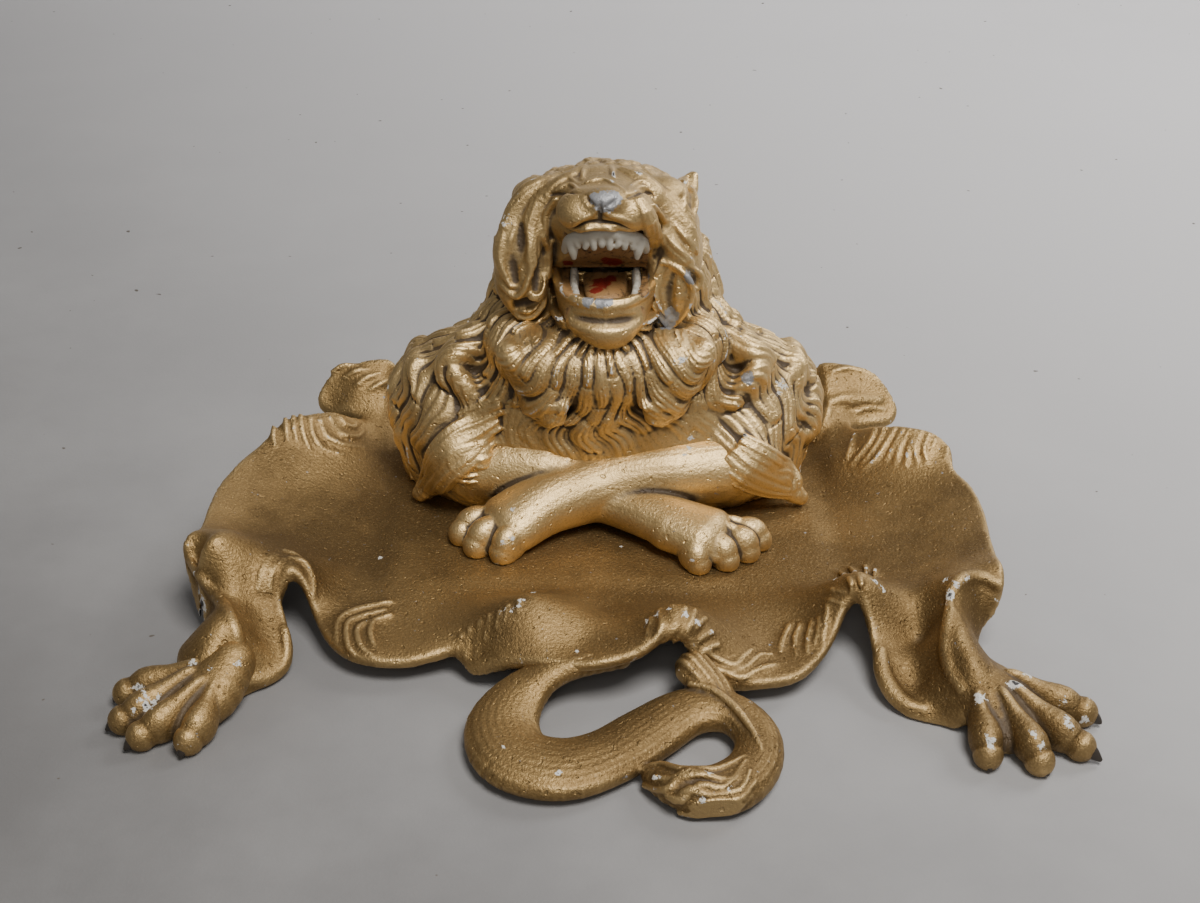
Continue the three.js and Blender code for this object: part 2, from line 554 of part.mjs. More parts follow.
// Where a level ray from the lion's axis leaves the torso or a round mass of the bust. On the ray
// p = (r cos, middle - r sin, height), a mass ends where |(p - centre) / radii| = 1.
function onMane(angle, height) {
  const next = torsoShares.findIndex(([level]) => level >= height);
  const [low, high] = [torsoShares[next - 1], torsoShares[next]];
  const part = (height - low[0]) / (high[0] - low[0]);
  const [, half, front, back] = low.map((share, k) => share + part * (high[k] - share));
  const middle = (front + back) / 2;
  const [c, s] = [Math.cos(angle), Math.sin(angle)];
  const ofTorso = (
    (Math.abs(c) / half) ** torsoSquareness + (Math.abs(2 * s) / (back - front)) ** torsoSquareness
  ) ** (-1 / torsoSquareness);
  const ofMasses = bustMassShares.map(([centre, radii]) => {
    const [u, v, w] = [0, middle, height].map((share, k) => (share - centre[k]) / radii[k]);
    const [du, dv] = [c / radii[0], -s / radii[1]];
    const square = du * du + dv * dv;
    const along = u * du + v * dv;
    const room = along * along - square * (u * u + v * v + w * w - 1);
    return room > 0 ? (Math.sqrt(room) - along) / square : 0;
  });
  const reach = Math.max(ofTorso, ...ofMasses);
  return [c * reach, middle - s * reach, height];
}

function maneLock(column, row, side) {
  const along = maneFirst + ((maneLast - maneFirst) * (column + (row % 2) / 2)) / (maneCount - 0.5);
  const stations = maneLockShares.map((section, k) => {
    const t = k / (maneLockShares.length - 1);
    const swing = maneSwing * Math.sin(2 * Math.PI * t + column);
    const angle = THREE.MathUtils.degToRad(along + swing);
    const [x, y, z] = onMane(angle, maneTopShares[row] - maneFallShare * t);
    return [side * x, y, z, ...section];
  });
  const outward = THREE.MathUtils.degToRad(along);
  const up = [side * Math.cos(outward), -Math.sin(outward), 0];
  return limb(lionSize, stations, { sides: 4, steps: 3, up });
}

const maneLocks = [-1, 1].flatMap((side) => maneTopShares.flatMap((_, row) => (
  Array.from({ length: maneCount }, (_, column) => maneLock(column, row, side))
)));

const lionLimb = (stations) => limb(lionSize, stations);
const bustForms = joined([
  stacked(lionSize, torsoShares, { squareness: torsoSquareness }),
  stacked(lionSize, throatShares, { sides: 14 }),
  ...bustMassShares.map(([centre, radii]) => blob(lionSize, centre, radii)),
  limb(lionSize, ruffShares, { sides: 9 }),
  ...upperArmShares.map(lionLimb),
  ...forearmShares.map((stations) => limb(lionSize, stations, { sides: 10 })),
  paw(lionSize, lionPawShares.left, lionToeShares.left),
  paw(lionSize, lionPawShares.right, lionToeShares.right),
  ...elbowLockShares.map(lionLimb),
  ...maneLocks,
]);

// Places of the pot, the hinge and the screws
const potY = 0.74 * lionSize;
const hingeY = 1.06 * lionSize;
const hingeZ = deckHeight + hingeRise;
const screwPlaceShares = { left: [-0.62, 0.6], right: [0.62, 0.6], rear: [0, 0.9] };
const screwPlaces = Object.entries(screwPlaceShares).map(([name, place]) => (
  [name, place.map((share) => share * lionSize)]
));

// The head's hanging locks, in front of the neck and beside the jaw. Each is a limb of the lid.
const lockShares = {
  left: [
    [-0.24, 0.6, 1.34, 0.11, 0.1], [-0.305, 0.53, 1.22, 0.095, 0.1], [-0.295, 0.49, 1.08, 0.08, 0.08],
    [-0.28, 0.49, 0.98, 0.05, 0.04],
  ],
  right: [
    [0.24, 0.6, 1.34, 0.11, 0.1], [0.3, 0.52, 1.2, 0.095, 0.1], [0.29, 0.47, 1.06, 0.08, 0.08],
    [0.265, 0.46, 0.95, 0.045, 0.04],
  ],
};
const lockOptions = { sides: 8, steps: 5, up: [0, 1, 0] };

// Turned about the hinge, so that the front goes up by the angle in degrees.
function swung(made, degrees) {
  return made.translate([0, -hingeY, -hingeZ]).rotate([-degrees, 0, 0]).translate([0, hingeY, hingeZ]);
}

// A slot through the whole bust for the swing of each lock
const lockRoom = Object.values(lockShares).flatMap((stations) => {
  const room = limb(lionSize, stations, { ...lockOptions, grow: swingClearance });
  return Array.from({ length: swingSteps }, (_, i) => swung(room, i * swingStep));
});

const aboveDeck = block([-far, -far, deckHeight], [far, far, far]);
const aboveHide = sheet(
  (x, y) => hideTop(x, y) + touchGap,
  () => far,
  table,
  cell,
);
const hollowTop = deckHeight - bustWall;
const bustHollow = stacked(lionSize, hollowShares, { sides: 16, shrink: bustWall, highest: hollowTop });
const screwHole = (place) => round(
  screwRadius + holeClearance,
  seatHeight - overrun,
  seatHeight + screwReach + touchGap + holeClearance,
  place,
);
const knuckleReach = lidKnuckleWidth / 2 + knuckleSideClearance;
const pinHole = (sides) => round(pinRadius + runningClearance, -far, far, [hingeY, hingeZ], 'x', sides);

const webShare = 0.9; // of the knuckle's radius, for the webs that carry it
const bustKnuckles = [-1, 1].map((side) => {
  const inner = side * knuckleReach;
  const outer = side * (knuckleReach + bustKnuckleWidth);
  const [from, to] = [Math.min(inner, outer), Math.max(inner, outer)];
  const lug = round(knuckleRadius, from, to, [hingeY, hingeZ], 'x', pinSides);
  const root = block(
    [from, hingeY - 3 * knuckleRadius, deckHeight - 2 * knuckleRadius],
    [to, hingeY + knuckleRadius / 2, deckHeight - touchGap],
  );
  const web = block(
    [from, hingeY - webShare * knuckleRadius, deckHeight - 2 * knuckleRadius],
    [to, hingeY + webShare * knuckleRadius, hingeZ],
  );
  return joined([lug, root, web]);
});
const knuckleRoom = round(
  knuckleRadius + touchGap,
  -knuckleReach,
  knuckleReach,
  [hingeY, hingeZ],
  'x',
  pinSides,
);

let bust = bustForms.subtract(aboveDeck).intersect(aboveHide);
bust = lockRoom.reduce((rest, cut) => rest.subtract(cut), bust);
bust = bust.subtract(bustHollow);
bust = screwPlaces.reduce((rest, [, place]) => (
  rest.add(round(bossRadius, seatHeight + touchGap, seatHeight + bossHeight, place))
), bust);
bust = joined([bust, ...bustKnuckles]);
bust = bust.subtract(knuckleRoom);
bust = bust.subtract(pinHole(pinSides));
bust = screwPlaces.reduce((rest, [, place]) => rest.subtract(screwHole(place)), bust);
const potBore = round(potRadius + potClearance, hollowTop - overrun, far, [0, potY], 'z', potSides);
const flangeSeat = round(
  potRadius + potFlangeReach + potClearance,
  deckHeight - potFlangeHeight - touchGap,
  far,
  [0, potY],
  'z',
  potSides,
);
bust = bust.subtract(potBore).subtract(flangeSeat);

// The head: skull, muzzle, brows, ears and locks over the parting plane, the palate and the
// upper teeth in front of the hollow that covers the pot.
const lidFloor = deckHeight + touchGap;
// Round masses of the head: centre, then radii
const skullShares = [[0, 0.74, 1.2], [0.34, 0.3, 0.24]];
const headMassShares = [
  [[0, 0.58, 1.32], [0.25, 0.2, 0.15]], // forehead
  [[0, 0.29, 1.47], [0.1, 0.06, 0.05]], // nose
  [[-0.09, 0.31, 1.4], [0.095, 0.08, 0.085]], // lip pads
  [[0.09, 0.31, 1.4], [0.095, 0.08, 0.085]],
];
const muzzleShares = [[0, 0.6, 1.36, 0.2, 0.12], [0, 0.45, 1.39, 0.18, 0.1], [0, 0.33, 1.41, 0.17, 0.09]];
const browShares = [
  [0.2, 0.57, 1.41, 0.05, 0.05], [0.12, 0.54, 1.46, 0.06, 0.05], [0.03, 0.57, 1.44, 0.04, 0.04],
];
// Ears, the right one pricked
const earShares = [
  [[-0.24, 0.7, 1.32, 0.1, 0.09], [-0.33, 0.71, 1.33, 0.06, 0.06]],
  [[0.24, 0.7, 1.3, 0.1, 0.08], [0.3, 0.73, 1.34, 0.06, 0.05], [0.315, 0.75, 1.39, 0.02, 0.02]],
];
// Locks combed back over the crown: the side that each starts on, then along it the place
// towards the back, half width and half height. The swing is the share that it bends aside.
const crownSideShares = [-0.19, -0.065, 0.065, 0.19];
const crownLockShares = [[0.6, 0.035, 0.03], [0.72, 0.05, 0.045], [0.86, 0.045, 0.04], [0.97, 0.02, 0.02]];
const crownSwingShare = 0.03;
const crownUpShare = 0.3; // how upright the locks stand, against the side that they start on
const crown = [skullShares, headMassShares[0]];

// Height of the crown's two round masses over a place
function onCrown(x, y) {
  return Math.max(...crown.map(([centre, radii]) => {
    const inside = 1 - ((x - centre[0]) / radii[0]) ** 2 - ((y - centre[1]) / radii[1]) ** 2;
    return centre[2] + radii[2] * Math.sqrt(Math.max(inside, 0));
  }));
}

const crownLocks = crownSideShares.map((start, column) => {
  const stations = crownLockShares.map(([y, ...section], k) => {
    const x = start + crownSwingShare * Math.sin(Math.PI * k + column);
    return [x, y, onCrown(x, y), ...section];
  });
  return limb(lionSize, stations, { sides: 4, steps: 3, up: [start, 0, crownUpShare] });
});

// Cheeks down to the parting plane: height, half width, front and back
const cheekShares = [
  [1.05, 0.37, 0.6, 1.0], [1.2, 0.36, 0.56, 1.01], [1.3, 0.3, 0.55, 0.98], [1.36, 0.2, 0.6, 0.9],
];
const headForms = joined([
  blob(lionSize, ...skullShares, { across: 18, down: 12 }),
  ...headMassShares.map(([centre, radii]) => blob(lionSize, centre, radii)),
  limb(lionSize, muzzleShares, { sides: 12 }),
  ...[browShares, mirrored(browShares)].map(lionLimb),
  ...earShares.map(lionLimb),
  ...crownLocks,
  stacked(lionSize, cheekShares, { sides: 18 }),
]);

// The mouth: a wedge under the upper jaw, with a sloping roof, the palate, and a gum that
// follows the lip.
const palateShares = [[0.2, 1.345], [0.33, 1.31], [0.5, 1.138], [0.515, 1.0], [0.2, 0.9]];
const mouthShape = new THREE.Shape(
  palateShares.map(([y, z]) => new THREE.Vector2(y * lionSize, z * lionSize)),
);
const mouthHalf = 0.155 * lionSize;
const mouthBlank = new THREE.ExtrudeGeometry(mouthShape, { depth: 2 * mouthHalf, bevelEnabled: false });
mouthBlank.applyMatrix4(new THREE.Matrix4().set(0, 0, 1, -mouthHalf, 1, 0, 0, 0, 0, 1, 0, 0, 0, 0, 0, 1));
const mouth = solid(mouthBlank);
const toothCount = 6;
const toothPitchShare = 0.04;
const toothRowShare = 0.29; // the front teeth's place, from which the row curves back
const toothCurveShare = 1.1;
const toothShares = [[1.35, 0.018, 0.018], [1.285, 0.01, 0.01]]; // height and half widths, root to tip
const teeth = Array.from({ length: toothCount }, (_, i) => {
  const x = (i - (toothCount - 1) / 2) * toothPitchShare;
  const y = toothRowShare + toothCurveShare * x * x;
  const stations = toothShares.map((row) => [x, y, ...row]);
  return limb(lionSize, stations, { sides: 5, steps: 2, up: [0, 1, 0] });
});
const fangShares = [
  [0.135, 0.36, 1.33, 0.025, 0.025], [0.135, 0.355, 1.26, 0.022, 0.022], [0.13, 0.35, 1.21, 0.008, 0.008],
];
const fangs = [fangShares, mirrored(fangShares)].map((stations) => (
  limb(lionSize, stations, { sides: 6, up: [0, 1, 0] })
));

// Room over the pot: radius and height, as shares of the room's
const lidHollowShares = [[1, 0.4], [0.85, 0.75], [0.5, 0.95], [0, 1]];
const lidHollow = solid(new THREE.LatheGeometry([
  new THREE.Vector2(0, -overrun),
  new THREE.Vector2(lidHollowRadius, -overrun),
  ...lidHollowShares.map(([r, h]) => new THREE.Vector2(r * lidHollowRadius, h * lidHollowHeight)),
], 24).rotateX(Math.PI / 2).translate(0, potY, lidFloor));

const belowLid = block([-far, -far, -far], [far, far, lidFloor]);
const lidKnuckle = joined([
  round(knuckleRadius, -lidKnuckleWidth / 2, lidKnuckleWidth / 2, [hingeY, hingeZ], 'x', pinSides),
  block(
    [-lidKnuckleWidth / 2, hingeY - 4 * knuckleRadius, lidFloor],
    [lidKnuckleWidth / 2, hingeY, hingeZ + webShare * knuckleRadius],
  ),
]);
const bustKnuckleRoom = [-1, 1].map((side) => {
  const inner = side * lidKnuckleWidth / 2;
  const outer = side * (knuckleReach + bustKnuckleWidth + knuckleSideClearance);
  return round(
    knuckleRadius + 2 * touchGap,
    Math.min(inner, outer),
    Math.max(inner, outer),
    [hingeY, hingeZ],
    'x',
    pinSides,
  );
});
const behindHinge = block(
  [-far, hingeY - hingeRise, -far],
  [far, far, hingeZ + hingeRise],
);
let head = headForms.subtract(belowLid).subtract(behindHinge);
head = joined([head, ...Object.values(lockShares).map((stations) => limb(lionSize, stations, lockOptions))]);
head = head.subtract(mouth);
head = joined([head, ...teeth, ...fangs]);
head = head.subtract(lidHollow);
head = bustKnuckleRoom.reduce((rest, cut) => rest.subtract(cut), head);
head = head.add(lidKnuckle).subtract(pinHole(pinSides));

// Hide with the holes for the screws
const hide = screwPlaces.reduce((rest, [, place]) => rest.subtract(screwHole(place)), hideForms);

// Pin, pot, screws and washers
const pinHalf = knuckleReach + bustKnuckleWidth + pinOverhang;
const pin = round(pinRadius, -pinHalf, pinHalf, [hingeY, hingeZ], 'x', pinSides);

const flangeRadius = potRadius + potFlangeReach;
const potFootRise = 1.5; // hollow under the foot
const pot = solid(new THREE.LatheGeometry([
  new THREE.Vector2(0, potFootRise - potDepth),
  new THREE.Vector2(potRadius - 2 * potWall, potFootRise - potDepth),
  new THREE.Vector2(potRadius - potWall, -potDepth),
  new THREE.Vector2(potRadius - potWall / 3, -potDepth),
  new THREE.Vector2(potRadius, potWall - potDepth),
  new THREE.Vector2(potRadius, -potFlangeHeight),
  new THREE.Vector2(flangeRadius, -potFlangeHeight),
  new THREE.Vector2(flangeRadius, 0),
  new THREE.Vector2(potRadius - potWall, 0),
  new THREE.Vector2(potRadius - potWall, 2 * potWall - potDepth),
  new THREE.Vector2(potRadius - 2 * potWall, potWall + potFootRise - potDepth),
  new THREE.Vector2(0, potWall + potFootRise - potDepth),
], potSides).rotateX(Math.PI / 2).translate(0, potY, deckHeight));

const washerTop = seatHeight - hideThickness - touchGap;
const headTop = washerTop - washerThickness - touchGap;
const washer = (place) => round(washerRadius, washerTop - washerThickness, washerTop, place)
  .subtract(round(screwRadius + holeClearance, washerTop - overrun, washerTop + overrun, place));
const screw = (place) => {
  const bottom = headTop - screwHeadHeight;
  const slot = block(
    [place[0] - screwHeadRadius - overrun, place[1] - slotWidth / 2, bottom - overrun],
    [place[0] + screwHeadRadius + overrun, place[1] + slotWidth / 2, bottom + slotDepth],
  );
  return round(screwHeadRadius, bottom, headTop, place)
    .add(round(screwRadius, bottom + slotDepth, seatHeight + screwReach, place, 'z', screwSides))
    .subtract(slot);
};

// Finishes
const gold = new THREE.MeshStandardMaterial({ color: 0x9a7a3c, roughness: 0.45, metalness: 0.55 });
const wornGold = new THREE.MeshStandardMaterial({ color: 0xa98a48, roughness: 0.4, metalness: 0.6 });
const steel = new THREE.MeshStandardMaterial({ color: 0x6f6a62, roughness: 0.5, metalness: 0.9 });
const glass = new THREE.MeshStandardMaterial({
  color: 0xd9e2de, roughness: 0.1, metalness: 0, transparent: true, opacity: 0.6,
});

// The assembly, set with the middle of its box over the origin and its feet on the table
const inkstand = new THREE.Group();
inkstand.add(
  piece('skin_tray', hide, gold),
  piece('lion_bust', bust, wornGold),
  piece('head_lid', head, wornGold),
  piece('hinge_pin', pin, steel),
  piece('ink_pot', pot, glass),
);
for (const [name, place] of screwPlaces) {
  inkstand.add(piece(`bust_screw_${name}`, screw(place), steel));
  inkstand.add(piece(`bust_washer_${name}`, washer(place), steel));
}
const box = new THREE.Box3().setFromObject(inkstand);
const middle = box.getCenter(new THREE.Vector3());
inkstand.position.set(-middle.x, -middle.y, -box.min.z);

export default inkstand;
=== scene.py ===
# %% [markdown]
# # A figural desk inkstand
#
# A gold-painted iron casting: a lion's hide, spread as a pen tray, a lion's bust on its floor,
# and the roaring head as the lid of an ink pot. The solids of the CAD model are the frame. This
# script models the visible skin of the three castings finer than the solids, in the same places,
# and gives every piece its finish.

# %% Load the frame
import math
import time

import bpy
import numpy as np
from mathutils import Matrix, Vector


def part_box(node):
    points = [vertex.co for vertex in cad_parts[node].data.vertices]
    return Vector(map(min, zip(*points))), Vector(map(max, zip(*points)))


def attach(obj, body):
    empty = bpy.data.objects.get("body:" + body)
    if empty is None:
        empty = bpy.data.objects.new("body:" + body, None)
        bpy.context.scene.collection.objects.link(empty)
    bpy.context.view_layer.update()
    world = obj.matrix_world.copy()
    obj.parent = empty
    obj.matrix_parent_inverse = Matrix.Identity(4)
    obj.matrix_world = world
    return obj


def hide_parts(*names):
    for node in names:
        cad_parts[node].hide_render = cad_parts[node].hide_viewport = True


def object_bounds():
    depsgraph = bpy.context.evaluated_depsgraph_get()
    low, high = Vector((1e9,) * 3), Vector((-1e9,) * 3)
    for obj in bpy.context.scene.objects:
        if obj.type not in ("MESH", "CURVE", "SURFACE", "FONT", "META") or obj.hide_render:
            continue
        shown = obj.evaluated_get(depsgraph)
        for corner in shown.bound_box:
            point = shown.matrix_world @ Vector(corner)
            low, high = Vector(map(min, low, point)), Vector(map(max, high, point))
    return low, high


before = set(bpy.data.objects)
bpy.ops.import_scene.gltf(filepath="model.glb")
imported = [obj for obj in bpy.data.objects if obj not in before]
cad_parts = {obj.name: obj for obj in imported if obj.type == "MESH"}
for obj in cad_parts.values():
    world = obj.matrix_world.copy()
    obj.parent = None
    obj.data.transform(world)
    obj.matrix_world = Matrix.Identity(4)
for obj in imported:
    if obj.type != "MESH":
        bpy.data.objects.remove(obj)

import openvdb
from mathutils import Vector

cad_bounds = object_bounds()
started = time.time()
for leftover in [bpy.data.objects.get(name) for name in ("Cube", "Light", "Camera")]:
    if leftover:
        bpy.data.objects.remove(leftover)
MM = 0.001

# %% [markdown]
# ## Where the design lies in the frame
#
# The castings are drawn in millimetres from the middle of the hide. The hinge pin of the CAD
# model says where that is: its middle is at HINGE in the drawing.

# %% Places taken from the frame
HINGE = np.array([0.0, 106.0, 113.5])
pin_low, pin_high = (np.array(corner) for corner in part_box("hinge_pin"))
SHIFT = (pin_low + pin_high) / 2 / MM - HINGE
SEAT_HEIGHT = 14.0
HIDE_THICKNESS = 4.0
DECK_HEIGHT = 112.0
TOUCH_GAP = 0.3
print("drawing to frame, mm:", SHIFT.round(3))

# %% [markdown]
# ## The photograph's camera
#
# A pinhole camera was fitted to the photograph. The same numbers place the rendered view
# and turn a pixel that was read off the photograph into a ray, so that a lock of fur can be
# traced where it is seen and laid on the form under it.

# %% Camera
PHOTO_WIDTH, PHOTO_HEIGHT = 1200, 903
FOCAL_PIXELS = 1600.0
TILT = math.radians(31.0)
EYE = np.array([-2.0, -492.0, 359.0])
FORWARD = np.array([0.0, math.cos(TILT), -math.sin(TILT)])
RIGHT = np.array([1.0, 0.0, 0.0])
UP = np.cross(RIGHT, FORWARD)


def ray_directions(pixels):
    """direction = forward + right (u - w/2) / f + up (h/2 - v) / f, one row for each pixel."""
    pixels = np.asarray(pixels, float)
    across = (pixels[:, :1] - PHOTO_WIDTH / 2) / FOCAL_PIXELS
    down = (pixels[:, 1:2] - PHOTO_HEIGHT / 2) / FOCAL_PIXELS
    return FORWARD + across * RIGHT - down * UP


camera_data = bpy.data.cameras.new("photo_camera")
camera_data.sensor_fit = "HORIZONTAL"
camera_data.angle = 2 * math.atan(PHOTO_WIDTH / 2 / FOCAL_PIXELS)
camera_data.clip_start = 0.01
camera = bpy.data.objects.new("photo_camera", camera_data)
camera.location = (EYE + SHIFT) * MM
camera.rotation_euler = (math.pi / 2 - TILT, 0, 0)
bpy.context.scene.collection.objects.link(camera)
bpy.context.scene.camera = camera
print("camera angle, degrees:", round(math.degrees(camera_data.angle), 2))

# %% [markdown]
# ## Modelling clay
#
# The real thing was modelled in clay or wax, moulded in sand and cast. The same is done here: a
# block of clay is a grid that holds the distance to the surface, negative inside. Forms are
# pressed on or cut away with soft joints, and the surface where the distance is zero becomes the
# mesh. That gives closed skins without seams, however many locks cross each other.

# %% Clay
FAR = 6.0  # distances further than this from the surface don't matter
LIMB_MARGIN, BOX_MARGIN, STACK_MARGIN = 2.5, 3.0, 6.0  # how far around a form the grid is worked on
LEAST_HALF = 0.25  # of a limb's width or height
FLANK_SHARE = 0.9  # how steep the distance rises from a level section
RAY_START, RAY_ROUNDS, RAY_STEP_SHARE, RAY_LEAST, RAY_MOST = 300.0, 400, 0.6, 0.3, 20.0
RAY_NEARER, RAY_MET = 0.02, 0.05
STRAND_SWING, STRAND_TURN = 0.05, 0.11  # share of the half width, radians in a millimetre
BOX_LOW, BOX_HIGH = (np.array(corner) / MM - SHIFT for corner in cad_bounds)


def smooth_union(a, b, blend):
    """min(a, b) - h^2 blend / 4, where h = max(blend - |a - b|, 0) / blend."""
    overlap = np.maximum(blend - np.abs(a - b), 0) / blend
    return np.minimum(a, b) - overlap * overlap * (blend / 4)


class Clay:
    """A grid of signed distances between two corners, in millimetres."""

    def __init__(self, low, high, voxel):
        self.low = np.array(low, float)
        self.voxel = voxel
        self.count = np.ceil((np.array(high) - self.low) / voxel).astype(int) + 1
        self.field = np.full(self.count, FAR, np.float32)

    def copied(self):
        """The same grid with fields of its own, to trace on while locks go on the first."""
        other = Clay.__new__(Clay)
        other.low, other.voxel, other.count = self.low, self.voxel, self.count
        other.field = self.field.copy()
        return other

    def window(self, low, high):
        """Slices of the grid between two corners, and the coordinates there."""
        first = np.clip(np.floor((np.array(low) - self.low) / self.voxel).astype(int), 0, self.count)
        last = np.clip(np.ceil((np.array(high) - self.low) / self.voxel).astype(int) + 1, 0, self.count)
        slices = tuple(slice(a, b) for a, b in zip(first, last))
        axes = [self.low[k] + self.voxel * np.arange(first[k], last[k]) for k in range(3)]
        return slices, np.meshgrid(*[a.astype(np.float32) for a in axes], indexing="ij", sparse=True)

    def cells(self):
        """The coordinates of the whole grid."""
        return self.window(self.low, self.low + self.voxel * self.count)[1]

    def press(self, slices, distance, blend, cut=False):
        """Joins a form to some slices of the grid with a soft joint, or cuts it out of them."""
        side = -1 if cut else 1
        self.field[slices] = side * smooth_union(side * self.field[slices], distance, blend)

    def cut_below(self, height=0.0):
        """Cuts off what lies lower than a height, one for all or one for each column."""
        self.field = np.maximum(self.field, (height - self.cells()[2]).astype(np.float32))

    def cut_above(self, height):
        """Cuts off what lies higher than a height."""
        self.field = np.maximum(self.field, (self.cells()[2] - height).astype(np.float32))

    def at(self, points):
        """Distance at any points, from the eight grid values around each."""
        place = (np.asarray(points) - self.low) / self.voxel
        place = np.clip(place, 0, self.count - 1.001)
        base = place.astype(int)
        part = place - base
        total = np.zeros(len(base))
        for corner in np.ndindex(2, 2, 2):
            weight = np.prod(np.where(corner, part, 1 - part), axis=1)
            total += weight * self.field[tuple((base + corner).T)]
        return total

    def normal_at(self, points):
        """Gradient of the distance, by central differences of one voxel."""
        steps = np.eye(3) * self.voxel
        slope = np.stack([self.at(points + s) - self.at(points - s) for s in steps], axis=1)
        return slope / np.maximum(np.linalg.norm(slope, axis=1, keepdims=True), 1e-6)

    def seen_at(self, pixels):
        """Where the camera's rays through some pixels meet the clay, or pass nearest to it."""
        directions = ray_directions(pixels)
        directions /= np.linalg.norm(directions, axis=1, keepdims=True)
        reach = np.full(len(directions), RAY_START)
        nearest, nearest_reach = np.full(len(directions), 1e9), reach.copy()
        top = self.low + self.voxel * (self.count - 1)
        for _ in range(RAY_ROUNDS):
            points = EYE + directions * reach[:, None]
            outside = np.linalg.norm(np.maximum(np.maximum(self.low - points, points - top), 0), axis=1)
            distance = self.at(points) + outside
            closer = distance < nearest - RAY_NEARER
            nearest = np.where(closer, distance, nearest)
            nearest_reach = np.where(closer, reach, nearest_reach)
            step = np.clip(distance * RAY_STEP_SHARE, RAY_LEAST, RAY_MOST)
            reach = reach + np.where(nearest < RAY_MET, 0, step)
        return EYE + directions * nearest_reach[:, None]

    def met_by(self, points, direction, reach=60.0, step=0.5):
        """Where points that move along a direction meet the clay, without those that miss it."""
        points = np.array(points, float)
        met = self.at(points) < 0
        for _ in range(int(reach / step)):
            points += np.where(met, 0, step)[:, None] * np.asarray(direction, float)
            met |= self.at(points) < 0
        return points[met]

    def settle(self, points, lift=0.0, rounds=6):
        """Moves points along the gradient until they lie on the surface, or above it by the lift."""
        points = np.array(points, float)
        for _ in range(rounds):
            points -= (self.at(points) - lift)[:, None] * self.normal_at(points)
        return points


def curve(rows, steps):
    """Catmull-Rom: q = b + u/2 ((c - a) + u (2a - 5b + 4c - d + u (3(b - c) + d - a)))."""
    rows = np.asarray(rows, float)
    t = np.linspace(0, len(rows) - 1, steps)
    i = np.minimum(t.astype(int), len(rows) - 2)
    u = (t - i)[:, None]
    a, b, c, d = rows[np.maximum(i - 1, 0)], rows[i], rows[i + 1], rows[np.minimum(i + 2, len(rows) - 1)]
    return b + u / 2 * ((c - a) + u * (2 * a - 5 * b + 4 * c - d + u * (3 * (b - c) + d - a)))


def unit_rows(rows):
    return rows / np.maximum(np.linalg.norm(rows, axis=1, keepdims=True), 1e-9)


def limb_distance(grid, centres, half_width, half_height, over, strands=0, groove=0.0, phase=0.0):
    """Distance to a limb of oval section: k0 (k0 - 1) / k1, k0 = |q / radii|, k1 = |q / radii^2|.

    Strands are grooves along the limb, groove (1 - |sin(pi/2 n s + phase)|) deep, where s runs from
    -1 to 1 across it.
    """
    x, y, z = grid
    best = side = along = None
    lengths = np.concatenate([[0], np.cumsum(np.linalg.norm(np.diff(centres, axis=0), axis=1))])
    for k in range(len(centres) - 1):
        start, run = centres[k], centres[k + 1] - centres[k]
        t = ((x - start[0]) * run[0] + (y - start[1]) * run[1] + (z - start[2]) * run[2]) / (run @ run)
        t = np.clip(t, 0, 1)
        q = [x - start[0] - t * run[0], y - start[1] - t * run[1], z - start[2] - t * run[2]]
        upward = over[k] + over[k + 1]
        sideways = np.cross(run, upward)
        sideways /= np.linalg.norm(sideways)
        upward = np.cross(sideways, run)
        upward /= np.linalg.norm(upward)
        u = q[0] * sideways[0] + q[1] * sideways[1] + q[2] * sideways[2]
        v = q[0] * upward[0] + q[1] * upward[1] + q[2] * upward[2]
        w2 = np.maximum(q[0] ** 2 + q[1] ** 2 + q[2] ** 2 - u * u - v * v, 0)
        a = half_width[k] + t * (half_width[k + 1] - half_width[k])
        b = half_height[k] + t * (half_height[k + 1] - half_height[k])
        k0 = np.sqrt((u / a) ** 2 + (v / b) ** 2 + w2 / b ** 2)
        k1 = np.sqrt((u / a ** 2) ** 2 + (v / b ** 2) ** 2 + w2 / b ** 4) + 1e-6
        distance = (k0 * (k0 - 1) / k1).astype(np.float32)
        if best is None:
            best, side, along = distance, u / a, lengths[k] + t * np.sqrt(run @ run)
        else:
            nearer = distance < best
            best = np.where(nearer, distance, best)
            side = np.where(nearer, u / a, side)
            along = np.where(nearer, lengths[k] + t * np.sqrt(run @ run), along)
    if strands:
        wave = STRAND_SWING * np.sin(along * STRAND_TURN + phase)
        best = best + groove * (1 - np.abs(np.sin(np.pi / 2 * strands * (side + wave) + phase)))
    return best


def press_limb(clay, rows, over=(0, 0, 1), steps=0, blend=1.0, cut=False, **pattern):
    """Presses a limb on the clay, or cuts it out. Rows are x, y, z, half width, half height in mm."""
    rows = np.asarray(rows, float)
    path = curve(rows, steps or (len(rows) - 1) * 4 + 1)
    path[:, 3:5] = np.maximum(path[:, 3:5], LEAST_HALF)
    centres = path[:, :3]
    over = np.broadcast_to(np.asarray(over, float), (len(rows), 3))
    over = curve(over, len(path)) if len(over) > 1 else over
    reach = path[:, 3:5].max() + LIMB_MARGIN + blend
    slices, grid = clay.window(centres.min(axis=0) - reach, centres.max(axis=0) + reach)
    distance = limb_distance(grid, centres, path[:, 3], path[:, 4], over, **pattern)
    clay.press(slices, distance, blend, cut)


